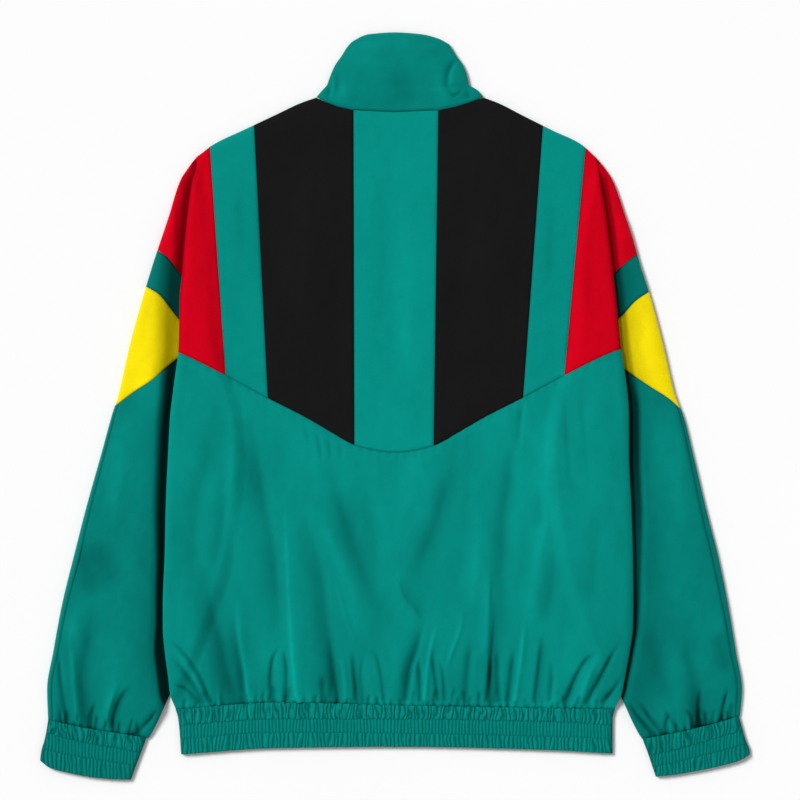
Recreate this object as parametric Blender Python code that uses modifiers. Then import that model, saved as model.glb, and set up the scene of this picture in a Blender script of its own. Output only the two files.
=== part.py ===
"""Windproof training jacket, laid flat with its back up.

Millimetres in the tables, metres in the meshes. X runs across the jacket (the wearer's right is +X),
Y runs from the hem to the collar and Z up from the surface that it lies on. A "width" is a distance
from the centre back line, and a "height" is a place along Y. Each side has its own column, because
the two sides of a jacket never lie quite alike.
"""
import math
from bisect import bisect_right

import bmesh
import bpy
from mathutils import Vector

MM = 0.001
LEFT, RIGHT = -1, 1
SIDES = {LEFT: "left", RIGHT: "right"}

# Cloth
WALL = 1.2              # thickness of one wall of cloth
SEAM = 0.3              # gap between two pieces at a seam
FLOOR = WALL / 2        # middle of a wall that lies on the surface
BACK = 5.2              # middle of a back wall that lies on a front wall
TUCKED = 2.9            # middle of the sleeve's back wall where the body lies on it
LIFT = 3.9              # how far the body is raised by the sleeve under it
LIFT_RUN = 16.0         # width over which it is raised
ROLL = 6.0              # width over which a wall rounds down to a folded edge
EDGE = 0.9              # height between the back and the front wall at that edge
SHOULDER_INSET = 0.7    # from the outline of the shoulder to the middle of its rounded wall
SHOULDER_TOP = 275.5    # height of the top of the shoulder panel
FOLD_TURN = 1.5         # width over which it turns round at its fold
FOLD_START = 262.0      # height where the shoulder panel starts to fold over the sleeve
FOLD_RUN = 28.0         # height over which that fold reaches its full depth
DIVE_START, DIVE_RUN = 2.0, 7.0    # where the sleeve dives under the body's edge
ARMPIT, ARMPIT_RUN = 94.0, 14.0    # height where the front starts to climb over the sleeve
FRONT_CORNER = (76.0, 50.0)        # heights between which its armhole meets its side
HIDDEN_GAP = 0.7                   # added to the gap at the curved seams of the hidden front

# Ribs of the shirred elastic
HEM_RIBS = 96
CUFF_RIBS = 27
RIB = 1.1               # height of a rib
PINCH = 0.15            # what is left of it at a row of stitching
GATHERS = 24            # gathers of the lower back above the hem
GATHER = 0.5            # half their depth
GATHER_REACH = 70.0     # how far up they run

# Zip, closed, along the centre front
TAPE_WIDTH, TAPE_THICKNESS = 9.2, 0.9
CHAIN_WIDTH, CHAIN_THICKNESS = 5.4, 2.2
SLIDER = (8.6, 12.0, 3.0)
ZIP_EDGE = 5.0          # width of the front edges
ZIP_FOOT, ZIP_HEAD = -362.0, 393.0

GREEN = (0.003, 0.25, 0.21, 1.0)
BLACK = (0.010, 0.010, 0.010, 1.0)
RED = (0.58, 0.001, 0.011, 1.0)
YELLOW = (0.90, 0.76, 0.004, 1.0)
ZIP_GREEN = (0.002, 0.13, 0.11, 1.0)


def rows(names, *values):
    """A table: one dictionary for each row, with the columns named once."""
    return [dict(zip(names.split(), row)) for row in values]


# Outer edge from the collar along the shoulder and the sleeve to the cuff
OUTLINE = rows(
    "height left right",
    (328.0, 83.5, 94.0), (322.0, 100.5, 110.0), (309.5, 127.0, 134.5), (292.5, 163.0, 168.5),
    (280.0, 189.5, 195.0), (267.0, 208.0, 210.0), (254.5, 218.5, 221.5), (241.5, 227.0, 230.0),
    (229.0, 232.0, 235.5), (203.5, 239.5, 244.0), (178.0, 248.0, 252.5), (152.5, 256.5, 259.5),
    (114.5, 268.0, 271.5), (63.5, 282.0, 285.0), (12.5, 293.5, 297.0), (-12.5, 301.0, 306.5),
    (-51.0, 311.5, 316.0), (-108.0, 327.5, 329.5), (-159.0, 340.5, 342.5), (-210.0, 353.0, 353.0),
    (-261.0, 362.5, 361.5), (-301.0, 369.0, 368.0), (-333.0, 368.0, 365.5))

# Edge of the body: the fold of the shoulder panel, then the side down to the hem
BODY_EDGE = rows(
    "height left right",
    (264.0, 210.5, 213.0), (255.5, 210.5, 215.5), (235.5, 215.5, 218.5), (209.0, 219.5, 223.0),
    (176.0, 223.0, 227.5), (141.0, 226.0, 231.5), (114.5, 228.5, 234.5), (89.0, 229.0, 237.0),
    (57.0, 230.0, 240.5), (38.0, 233.5, 245.5), (12.5, 237.0, 246.5), (-12.5, 240.0, 248.5),
    (-51.0, 242.0, 248.5), (-108.0, 244.5, 251.0), (-159.0, 245.5, 252.5), (-210.0, 247.5, 253.0),
    (-235.5, 247.5, 252.5), (-261.0, 245.5, 249.0), (-286.0, 242.0, 244.5), (-306.5, 239.5, 240.5),
    (-322.0, 233.0, 233.5), (-333.0, 230.0, 231.0), (-370.0, 227.0, 231.0))

# Inner edge of the sleeve, hidden under the body down to where it comes out near the cuff
TUCK = rows(
    "height width",
    (257.0, 216.0), (245.0, 217.0), (235.0, 216.0), (225.0, 213.5), (209.0, 209.5), (180.0, 205.0),
    (112.5, 201.5), (72.0, 200.5), (38.0, 191.0), (-4.0, 177.0), (-46.5, 173.0), (-152.5, 183.5),
    (-258.5, 217.5), (-306.5, 239.5), (-348.5, 259.5), (-356.0, 265.0))

# Armhole of the front panels, straight
ARMHOLE = rows("height left right", (275.5, 196.5, 202.5), (76.0, 200.5, 200.5))

COLLAR_SEAM = rows(
    "height left right",
    (312.0, 0.0, 0.0), (314.0, 44.0, 46.5), (318.0, 61.5, 65.5), (322.5, 72.5, 79.0),
    (328.0, 83.5, 94.0))
COLLAR_SIDE = rows(
    "height left right",
    (328.0, 83.5, 94.0), (335.0, 77.5, 88.0), (341.5, 72.0, 78.5), (347.5, 70.0, 77.5),
    (360.5, 64.5, 73.0), (373.0, 56.0, 64.5), (379.5, 52.0, 60.5), (386.0, 46.5, 56.0),
    (391.5, 38.0, 48.0))
COLLAR_TOP = rows(
    "place height",
    (-49.0, 384.0), (-37.0, 391.5), (-27.5, 394.5), (0.0, 396.4), (27.5, 394.5), (45.5, 390.0),
    (58.0, 383.5))

# The seams between the stripes of the yoke are straight
STRIPES = {
    "inner": rows("height left right", (312.5, 44.0, 46.0), (-41.5, 43.0, 41.0)),
    "middle": rows("height left right", (296.0, 149.5, 157.0), (9.0, 135.0, 136.0)),
    "outer": rows("height left right", (275.5, 196.5, 202.5), (33.5, 180.0, 180.0))}
YOKE_SEAM = rows(
    "width height",
    (0.0, -49.0), (8.0, -48.8), (21.0, -47.0), (42.5, -41.5), (69.0, -27.0), (94.0, -12.5), (136.0, 9.0),
    (181.5, 33.5), (230.0, 57.0), (240.5, 60.5))

# Seams of the sleeve bands, from the hidden end to the outer edge
BAND_SEAMS = {
    "red_green": rows(
        "step left_width left_height right_width right_height",
        (0, 201.5, 112.5, 201.5, 112.5), (1, 226.5, 138.5, 224.5, 131.0),
        (2, 241.5, 158.0, 238.0, 146.0), (3, 252.5, 165.5, 257.5, 162.0)),
    "green_yellow": rows(
        "step left_width left_height right_width right_height",
        (0, 200.5, 73.5, 200.5, 73.5), (1, 228.0, 91.0, 238.0, 93.5),
        (2, 250.5, 118.5, 256.0, 112.0), (3, 264.5, 127.0, 269.5, 121.0)),
    "yellow_green": rows(
        "step left_width left_height right_width right_height",
        (0, 200.5, 69.0, 200.5, 69.0), (1, 231.5, 50.5, 238.0, 43.0),
        (2, 259.5, 26.5, 268.5, 22.0), (3, 276.5, 15.5, 290.5, 8.0),
        (4, 296.5, 0.5, 302.5, -2.5))}
OVERARM = rows("height inset", (0.0, 3.2), (-60.0, 4.0), (-170.0, 6.0), (-250.0, 5.0), (-335.0, 4.5))

HEM = rows(
    "place seam stitch_1 stitch_2 edge",
    (-230.0, -322.0, -339.0, -354.0, -370.0), (-126.0, -315.0, -332.5, -346.5, -363.0),
    (5.5, -318.0, -332.5, -347.5, -361.5), (163.0, -321.0, -335.0, -351.0, -365.0),
    (233.0, -322.0, -339.0, -353.5, -369.0))
CUFF = {
    LEFT: rows(
        "width seam stitch_1 stitch_2 edge",
        (262.0, -352.5, -369.5, -384.0, -396.5), (290.0, -348.0, -364.5, -379.5, -396.3),
        (316.0, -344.0, -360.0, -375.5, -394.5), (345.0, -338.5, -354.0, -371.0, -389.5),
        (366.0, -333.5, -348.0, -366.0, -384.0), (378.0, -330.5, -345.0, -363.0, -375.0)),
    RIGHT: rows(
        "width seam stitch_1 stitch_2 edge",
        (262.0, -353.5, -372.5, -385.0, -394.5), (290.0, -348.5, -367.0, -380.0, -392.0),
        (316.0, -343.0, -360.0, -373.5, -388.0), (345.0, -335.5, -351.5, -366.5, -382.0),
        (366.0, -329.0, -345.0, -360.5, -376.0), (378.0, -325.5, -341.5, -357.5, -369.0))}
CUFF_SIDE = rows(
    "height outer_left outer_right inner_left inner_right",
    (-329.0, 367.5, 365.0, 257.0, 254.5), (-354.0, 372.0, 372.0, 264.5, 263.0),
    (-366.0, 375.5, 376.5, 269.0, 267.5), (-397.0, 379.0, 378.5, 280.5, 278.0))

# Largest folds: troughs below zero and ridges above it
BACK_FOLDS = rows(
    "head_place head_height foot_place foot_height reach rise",
    (-151.5, -36.0, -117.5, -264.0, 9.0, -1.8), (-117.5, -121.0, -105.0, -306.0, 6.0, 0.6),
    (-69.0, -62.5, -9.5, -248.0, 10.0, -1.2), (-103.0, -94.0, -58.0, -311.0, 8.0, -1.4),
    (-183.5, -248.0, -166.5, -311.0, 6.0, -1.6), (-167.5, -205.5, -158.0, -311.0, 5.0, 0.6),
    (-190.0, -78.5, -198.0, -227.0, 9.0, -0.8), (63.5, -52.0, 10.5, -195.0, 11.0, -1.2),
    (29.5, -227.0, 11.5, -313.5, 8.0, -1.8), (133.5, -9.5, 105.0, -311.5, 10.0, -1.8),
    (157.0, -99.5, 151.5, -309.5, 8.0, -1.0), (135.5, -232.0, 128.0, -309.5, 5.0, 0.6),
    (69.0, -205.5, 37.0, -311.5, 7.0, 0.6), (217.5, -264.0, 186.5, -315.0, 7.0, -1.4),
    (240.0, -258.0, 206.5, -315.0, 6.0, -1.2), (-238.0, -262.0, -196.0, -315.0, 6.0, -1.2))
SLEEVE_FOLDS = {
    LEFT: rows(
        "head_place head_height foot_place foot_height reach rise",
        (343.0, -145.0, 320.0, -190.0, 14.0, -1.2), (283.0, -302.0, 304.0, -342.0, 6.0, -1.4),
        (339.0, -258.5, 329.5, -337.0, 7.0, -1.4), (347.5, -268.0, 350.0, -335.0, 5.0, 0.5)),
    RIGHT: rows(
        "head_place head_height foot_place foot_height reach rise",
        (318.0, -248.0, 320.0, -341.0, 8.0, -1.4), (350.0, -300.0, 345.0, -335.0, 5.0, -1.0),
        (262.0, -322.0, 283.0, -346.0, 5.0, -1.0), (288.5, -330.0, 305.5, -345.0, 5.0, -1.0))}

# Section of the sleeve's front wall where it turns over the outer edge to the overarm seam
WRAP = rows("inset climb", (3.4, 0.04), (1.5, 0.18), (0.6, 0.5), (1.2, 0.80))


# ---------------------------------------------------------------- curves

def polyline(table, key, column):
    """A function of straight runs through two columns of a table."""
    points = sorted((row[key], row[column]) for row in table)

    def value(key_value):
        for (start_key, start), (end_key, end) in zip(points, points[1:]):
            if key_value <= end_key:
                break
        share = min(max((key_value - start_key) / (end_key - start_key), 0.0), 1.0)
        return start + (end - start) * share
    return value


def curve(table, key, column):
    """A smooth function through two columns of a table, held at its ends, with no overshoot."""
    points = sorted((row[key], row[column]) for row in table)
    keys = [point[0] for point in points]
    values = [point[1] for point in points]
    chords = [(values[i + 1] - values[i]) / (keys[i + 1] - keys[i]) for i in range(len(keys) - 1)]
    slopes = [chords[0]]
    for before, after in zip(chords, chords[1:]):
        slopes.append(2 * before * after / (before + after) if before * after > 0 else 0.0)
    slopes.append(chords[-1])

    def value(key_value):
        held = min(max(key_value, keys[0]), keys[-1])
        i = min(bisect_right(keys, held) - 1, len(keys) - 2)
        span = keys[i + 1] - keys[i]
        t = (held - keys[i]) / span
        start = values[i] * (2 * t ** 3 - 3 * t ** 2 + 1) + slopes[i] * span * (t ** 3 - 2 * t ** 2 + t)
        end = values[i + 1] * (3 * t ** 2 - 2 * t ** 3) + slopes[i + 1] * span * (t ** 3 - t ** 2)
        return start + end
    return value


def both_sides(table):
    return {side: curve(table, "height", name) for side, name in SIDES.items()}


outline = both_sides(OUTLINE)
body_edge = both_sides(BODY_EDGE)
armhole = both_sides(ARMHOLE)
collar_side = both_sides(COLLAR_SIDE)
stripe_seam = {name: both_sides(table) for name, table in STRIPES.items()}
shoulder_height = {side: curve(OUTLINE[:12], name, "height") for side, name in SIDES.items()}
collar_seam_height = {side: polyline(COLLAR_SEAM, name, "height") for side, name in SIDES.items()}
band_seam = {
    name: {side: curve(table, word + "_width", word + "_height") for side, word in SIDES.items()}
    for name, table in BAND_SEAMS.items()}
tuck = curve(TUCK, "height", "width")
yoke_seam_height = curve(YOKE_SEAM, "width", "height")
overarm_inset = curve(OVERARM, "height", "inset")
collar_top_height = curve(COLLAR_TOP, "place", "height")
hem_line = {name: curve(HEM, "place", name) for name in ("seam", "stitch_1", "stitch_2", "edge")}
cuff_line = {
    side: {name: curve(table, "width", name) for name in ("seam", "stitch_1", "stitch_2", "edge")}
    for side, table in CUFF.items()}
cuff_outer = {side: curve(CUFF_SIDE, "height", "outer_" + word) for side, word in SIDES.items()}
cuff_inner = {side: curve(CUFF_SIDE, "height", "inner_" + word) for side, word in SIDES.items()}


def ease(share):
    """Smooth step from 0 to 1."""
    share = min(max(share, 0.0), 1.0)
    return share * share * (3 - 2 * share)


def mix(start, end, share):
    return start + (end - start) * share


def side_of(place):
    return RIGHT if place > 0 else LEFT


def neck_width(side):
    return OUTLINE[0][SIDES[side]]


def top_height(place):
    """Top edge of the yoke: the collar seam, then the rounded shoulder."""
    side = side_of(place)
    width = abs(place)
    inset = SEAM / 2 + SHOULDER_INSET * ease((width - neck_width(side) + 14) / 10)
    if width < neck_width(side):
        return collar_seam_height[side](width) - inset
    return shoulder_height[side](width) - inset


def yoke_height(place):
    return yoke_seam_height(abs(place))


# ---------------------------------------------------------------- levels

def round_over(distance):
    """1 on the flat of a wall, falling to 0 at its folded edge as a quarter round."""
    share = min(max(distance / ROLL, 0.0), 1.0)
    return math.sqrt(1 - (1 - share) ** 2)


def upper(top, bottom, distance):
    """Level of the upper of two walls that meet at a folded edge."""
    end = (top + bottom + EDGE) / 2
    return mix(end, top, round_over(distance))


def lower(top, bottom, distance):
    """Level of the lower of those two walls."""
    end = (top + bottom - EDGE) / 2
    return mix(end, bottom, round_over(distance))


def edge_distance(line, width, height):
    """Distance in from an edge that is given as a width for each height."""
    slope = (line(height + 2) - line(height - 2)) / 4
    return (line(height) - width) / math.hypot(1, slope)


def folded(height):
    """0 above the fold of the shoulder panel, 1 where the sleeve lies fully under the body."""
    return ease((FOLD_START - height) / FOLD_RUN)


def lift(width, height):
    return LIFT * ease((width - tuck(height) + LIFT_RUN) / LIFT_RUN)


def back_flat(width, height):
    return BACK + lift(width, height) * folded(height)


def front_flat(width, height):
    return FLOOR + lift(width, height) * ease((ARMPIT - height) / ARMPIT_RUN)


def back_level(place, height):
    """Middle of the body's back wall."""
    side, width = side_of(place), abs(place)
    top = back_flat(width, height)
    if height > YOKE_SEAM[-1]["height"]:
        return upper(top, FLOOR, edge_distance(outline[side], width, height))
    return upper(top, front_flat(width, height), edge_distance(body_edge[side], width, height))


def front_level(place, height):
    """Middle of the body's front wall."""
    side, width = side_of(place), abs(place)
    bottom = front_flat(width, height)
    if height > ARMHOLE[-1]["height"]:
        return lower(BACK, bottom, edge_distance(outline[side], width, height))
    return lower(back_flat(width, height), bottom, edge_distance(body_edge[side], width, height))


def sleeve_flat(side, width, height):
    inside_edge = width - body_edge[side](height) - DIVE_START
    shown = ease(inside_edge / DIVE_RUN)
    return BACK - (BACK - TUCKED) * (1 - shown) * folded(height)


def sleeve_back_level(side, width, height):
    """Middle of the sleeve's back wall, rounded at its outer and its inner edge."""
    top = sleeve_flat(side, width, height)
    outer = edge_distance(outline[side], width, height)
    slope = (tuck(height + 2) - tuck(height - 2)) / 4
    inner = (width - tuck(height)) / math.hypot(1, slope)
    return upper(top, FLOOR, min(outer, inner))


def sleeve_front_level(side, width, height):
    """Middle of the sleeve's front wall: flat, but rounded up at each edge that shows."""
    top = sleeve_flat(side, width, height)
    outer = edge_distance(outline[side], width, height)
    slope = (tuck(height + 2) - tuck(height - 2)) / 4
    inner = (width - tuck(height)) / math.hypot(1, slope)
    if outer < inner:
        return lower(top, FLOOR, outer)
    return mix(FLOOR, lower(top, FLOOR, inner), ease(top + 1 - BACK))


def fold_relief(folds, place, height):
    """Sum of the listed folds, each fading out towards its head."""
    total = 0.0
    for fold in folds:
        head = Vector((fold["head_place"], fold["head_height"]))
        run = Vector((fold["foot_place"], fold["foot_height"])) - head
        offset = Vector((place, height)) - head
        along = offset.dot(run) / run.length_squared
        nearest = head + run * min(max(along, 0.0), 1.0)
        away = (Vector((place, height)) - nearest).length / fold["reach"]
        total += fold["rise"] * math.exp(-away * away) * ease(along / 0.4 + 0.2)
    return total


# ---------------------------------------------------------------- building

def material(name, colour, roughness):
    made = bpy.data.materials.new(name)
    made.use_nodes = True
    surface = made.node_tree.nodes["Principled BSDF"]
    surface.inputs["Base Color"].default_value = colour
    surface.inputs["Roughness"].default_value = roughness
    surface.inputs["Metallic"].default_value = 0.0
    return made


def add_object(name, mesh_data, finish):
    mesh = bpy.data.meshes.new(name)
    bmesh.ops.recalc_face_normals(mesh_data, faces=mesh_data.faces)
    mesh_data.to_mesh(mesh)
    mesh_data.free()
    mesh.shade_smooth()
    mesh.set_sharp_from_angle(angle=math.radians(40))
    mesh.materials.append(finish)
    piece = bpy.data.objects.new(name, mesh)
    jacket.objects.link(piece)
    return piece


def grid(mesh_data, points):
    """A net of faces through rows of points. Returns its corners, row by row."""
    across, along = len(points[0]) - 1, len(points) - 1
    made = bmesh.ops.create_grid(mesh_data, x_segments=across, y_segments=along, size=0.5)
    corners = [[None] * (across + 1) for _ in range(along + 1)]
    for corner in made["verts"]:
        i = round((corner.co.x + 0.5) * across)
        j = round((corner.co.y + 0.5) * along)
        corners[j][i] = corner
    for row_of_corners, row_of_points in zip(corners, points):
        for corner, point in zip(row_of_corners, row_of_points):
            corner.co = Vector(point) * MM
    return corners


def wall(name, finish, points):
    """One wall of cloth whose middle runs through rows of points."""
    mesh_data = bmesh.new()
    grid(mesh_data, points)
    piece = add_object(name, mesh_data, finish)
    thickness = piece.modifiers.new("cloth", "SOLIDIFY")
    thickness.thickness = WALL * MM
    thickness.offset = 0.0
    return piece


def zip_border(mesh_data, fine, coarse):
    """Triangles between two rows of corners that run the same way."""
    i = j = 0
    last_fine, last_coarse = len(fine) - 1, len(coarse) - 1
    while i < last_fine or j < last_coarse:
        fine_is_next = j == last_coarse or i < last_fine and (
            (fine[i + 1].co - coarse[j].co).length < (coarse[j + 1].co - fine[i].co).length)
        if fine_is_next:
            mesh_data.faces.new((fine[i], fine[i + 1], coarse[j]))
            i += 1
        else:
            mesh_data.faces.new((fine[i], coarse[j + 1], coarse[j]))
            j += 1


def ribbed_wall(name, finish, outside, inside):
    """A wall with a fine outside over a plain inside, joined round its border."""
    mesh_data = bmesh.new()
    fine = grid(mesh_data, outside)
    plain = grid(mesh_data, inside)
    for end in (0, -1):
        zip_border(mesh_data, fine[end], plain[end])
        zip_border(mesh_data, [row[end] for row in fine], [row[end] for row in plain])
    return add_object(name, mesh_data, finish)


def stations(length, count, near_start=(), near_end=()):
    """Shares of the way across: close together at a rounded edge, even in between."""
    start = [0.0] + [step / length for step in near_start]
    end = [1 - step / length for step in reversed(near_end)] + [1.0]
    middle = [mix(start[-1], end[0], i / count) for i in range(1, count)]
    return start + middle + end


ROUND_STEPS = (0.8, 2.6, 6.0)


def between(first, last, share):
    """The line that lies a share of the way from one line to another."""
    return lambda value: mix(first(value), last(value), share)


def crossing(column, row):
    """Where a column (a place for each height) meets a row (a height for each place)."""
    height = row(column(0.0))
    for _ in range(12):
        place = column(height)
        height = mix(height, row(place), 0.8)
    return place, height


def net(columns, row_lines, level):
    """Rows of points where the columns meet the rows, at the wall's level."""
    points = []
    for row in row_lines:
        places = [crossing(column, row) for column in columns]
        points.append([(place, height, level(place, height)) for place, height in places])
    return points


def spread(first, last, shares):
    return [between(first, last, share) for share in shares]


def moved(line, distance):
    return lambda value: line(value) + distance


def signed(line, side, inset=0.0):
    """A width line of one side as places, set in towards the centre."""
    return lambda height: side * (line(height) - inset)


# ---------------------------------------------------------------- yoke

def yoke_panel(name, finish, first, last, shares):
    columns = spread(moved(first, SEAM / 2), moved(last, -SEAM / 2), shares)
    row_lines = spread(moved(yoke_height, SEAM / 2), lambda place: top_height(place),
                       stations(330.0, 8, near_end=ROUND_STEPS))
    return wall(name, finish, net(columns, row_lines, back_level))


def yoke():
    inner = {side: signed(stripe_seam["inner"][side], side) for side in SIDES}
    middle = {side: signed(stripe_seam["middle"][side], side) for side in SIDES}
    outer = {side: signed(stripe_seam["outer"][side], side) for side in SIDES}
    yoke_panel("back_stripe_centre", green, inner[LEFT], inner[RIGHT], stations(90.0, 4))
    for side, word in SIDES.items():
        # a column at each corner of the collar seam
        corners = [(row[word], row["height"]) for row in COLLAR_SEAM[2:]]
        shares = [
            (width - stripe_seam["inner"][side](height)) /
            (stripe_seam["middle"][side](height) - stripe_seam["inner"][side](height))
            for width, height in corners]
        shares = [0.0] + shares + [mix(shares[-1], 1, 0.3), mix(shares[-1], 1, 0.65), 1.0]
        if side == RIGHT:
            yoke_panel("back_stripe_black_" + word, black, inner[side], middle[side], shares)
            yoke_panel("back_stripe_side_" + word, green, middle[side], outer[side], stations(45, 3))
        else:
            mirrored = [1 - share for share in reversed(shares)]
            yoke_panel("back_stripe_black_" + word, black, middle[side], inner[side], mirrored)
            yoke_panel("back_stripe_side_" + word, green, outer[side], middle[side], stations(45, 3))


def shoulder_row(side, share):
    """One row of the shoulder panel: over the body, round its fold and out along the sleeve."""
    seam_line, edge = stripe_seam["outer"][side], body_edge[side]
    seam_foot, yoke_corner = [
        Vector(crossing(line, moved(yoke_seam_height, SEAM / 2))) for line in (seam_line, edge)]
    seam_height = mix(SHOULDER_TOP - SHOULDER_INSET, seam_foot.y, share)
    seam = Vector((seam_line(seam_height) + SEAM / 2, seam_height))
    if share == 0:
        seam.y = shoulder_height[side](seam.x) - SHOULDER_INSET
    fold_height = mix(264.0, yoke_corner.y, share)
    fold = Vector((edge(fold_height) - WALL / 2, fold_height))
    tuck_height = mix(257.0, 113.0, share)
    turn = Vector((tuck(tuck_height), tuck_height))
    if share < 0.5:
        end_height = mix(246.0, BAND_SEAMS["red_green"][-1][SIDES[side] + "_height"], share / 0.5)
        end = Vector((outline[side](end_height) - WALL / 2, end_height))
    else:
        end_width = mix(BAND_SEAMS["red_green"][-1][SIDES[side] + "_width"] - WALL / 2, 208.0,
                        (share - 0.5) / 0.5)
        end = Vector((end_width, band_seam["red_green"][side](end_width)))
    end.y += SEAM
    if share == 0:
        for point in (fold, turn, end):
            point.x = outline[side](point.y) - WALL / 2

    body_end = fold - (fold - seam).normalized() * FOLD_TURN
    sleeve_start = turn + (end - turn).normalized() * FOLD_TURN

    def body_point(point):
        # the lowest row follows the yoke seam, and those above it less and less
        chord = mix(seam_foot.y, yoke_corner.y, (point.x - seam_foot.x) / (yoke_corner.x - seam_foot.x))
        bow = yoke_seam_height(point.x) + SEAM / 2 - chord
        height = point.y + bow * share
        level = upper(back_flat(point.x, height), FLOOR, edge_distance(outline[side], point.x, height))
        return (side * point.x, height, level)

    def sleeve_point(point):
        top_level = sleeve_flat(side, point.x, point.y)
        level = upper(top_level, FLOOR, edge_distance(outline[side], point.x, point.y))
        return (side * point.x, point.y, level)

    over = body_point(body_end)[2]
    under = sleeve_point(sleeve_start)[2]
    drop = over - under
    points = [body_point(seam.lerp(body_end, step)) for step in (0.0, 0.25, 0.5, 0.75, 1.0)]
    for step, fall in ((0.0, 0.3), (0.33, 0.44), (0.67, 0.56), (1.0, 0.7)):
        point = fold.lerp(turn, step)
        points.append((side * point.x, point.y, over - drop * fall))
    points += [sleeve_point(sleeve_start.lerp(end, step)) for step in (0.0, 0.3, 0.55, 0.8, 1.0)]
    return points


def shoulders():
    shares = (0.0, 0.012, 0.04, 0.09, 0.16, 0.25, 0.37, 0.5, 0.58, 0.66, 0.74, 0.82, 0.91, 1.0)
    for side, word in SIDES.items():
        wall("shoulder_red_" + word, red, [shoulder_row(side, share) for share in shares])


# ---------------------------------------------------------------- lower back and hem

def back_sides():
    return [signed(body_edge[side], side, WALL / 2) for side in (LEFT, RIGHT)]


def lower_back():
    left_edge, right_edge = back_sides()
    gathered = GATHERS * 2

    def level(place, height):
        from_seam = ease((yoke_height(place) - height) / 30)
        from_hem = 1 - ease((height - hem_line["seam"](place)) / GATHER_REACH)
        wave = GATHER * math.cos(math.pi * gathered * (place / 470.0 + 0.5)) * from_hem
        inside = ease(edge_distance(body_edge[side_of(place)], abs(place), height) / 12 - 0.4)
        return back_level(place, height) + from_seam * inside * (
            wave + fold_relief(BACK_FOLDS, place, height))

    shares = stations(480.0, gathered, ROUND_STEPS, ROUND_STEPS)
    row_lines = spread(moved(hem_line["seam"], SEAM / 2), moved(yoke_height, -SEAM / 2),
                       (0.0, 0.04, 0.1, 0.18, 0.28, 0.42, 0.6, 0.8, 1.0))
    wall("lower_back", green, net(spread(left_edge, right_edge, shares), row_lines, level))


SHIRRED_ROWS = (
    ("seam", "stitch_1", 0.0, PINCH), ("seam", "stitch_1", 0.5, 1.0), ("stitch_1", "stitch_2", 0.0, PINCH),
    ("stitch_1", "stitch_2", 0.5, 1.0), ("stitch_2", "edge", 0.0, PINCH), ("stitch_2", "edge", 0.5, 1.0),
    ("stitch_2", "edge", 1.0, PINCH))


def shirred(name, lines, columns, plain_columns, level):
    """An elasticated band: ribs in three rows between lines of stitching."""
    outside = []
    for first, last, share, puff in SHIRRED_ROWS:
        row = between(lines[first], lines[last], share)
        points = net(columns, [row], level)[0]
        outside.append([
            (place, height, top + WALL / 2 + RIB * puff * (i % 2))
            for i, (place, height, top) in enumerate(points)])
    inside = net(plain_columns, spread(lines["seam"], lines["edge"], (0.0, 0.25, 1.0)), level)
    inside = [[(place, height, top - WALL / 2) for place, height, top in row] for row in inside]
    return ribbed_wall(name, green, outside, inside)


def banded(lines):
    """The lines of a shirred band, with the seam gap taken off its top."""
    return dict(lines, seam=moved(lines["seam"], -SEAM / 2))


def hem_band():
    left_edge, right_edge = [signed(body_edge[side], side) for side in (LEFT, RIGHT)]
    ribs = [i / (2 * HEM_RIBS) for i in range(2 * HEM_RIBS + 1)]
    columns = spread(left_edge, right_edge, ribs)
    plain = spread(moved(left_edge, WALL), moved(right_edge, -WALL), stations(455.0, 16, (6.0,), (6.0,)))
    shirred("hem_band_back", banded(hem_line), columns, plain, back_level)


# ---------------------------------------------------------------- sleeves

def band_columns(side, inner_width, shares):
    return spread(signed(outline[side], side, WALL / 2), lambda height: side * inner_width, shares)


def sleeve_bands():
    table = (("sleeve_band_green", green, "red_green", "green_yellow", 2, 201.3),
             ("sleeve_band_yellow", yellow, "green_yellow", "yellow_green", 3, 200.9))
    for side, word in SIDES.items():
        def place_line(name, gap, side=side):
            return lambda place: band_seam[name][side](abs(place)) + gap

        def back(place, height, side=side):
            top = sleeve_flat(side, abs(place), height)
            return upper(top, FLOOR, edge_distance(outline[side], abs(place), height))

        def front(place, height, side=side):
            return sleeve_front_level(side, abs(place), height)

        for name, finish, top_seam, bottom_seam, count, inner_width in table:
            columns = band_columns(side, inner_width, stations(70.0, 8, ROUND_STEPS))
            for half, gap, level in (("_back_", 0.0, back), ("_front_", HIDDEN_GAP, front)):
                lines = spread(place_line(bottom_seam, SEAM / 2 + gap), place_line(top_seam, -SEAM),
                               stations(1.0, count))
                wall(name + half + word, finish, net(columns, lines, level))


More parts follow.
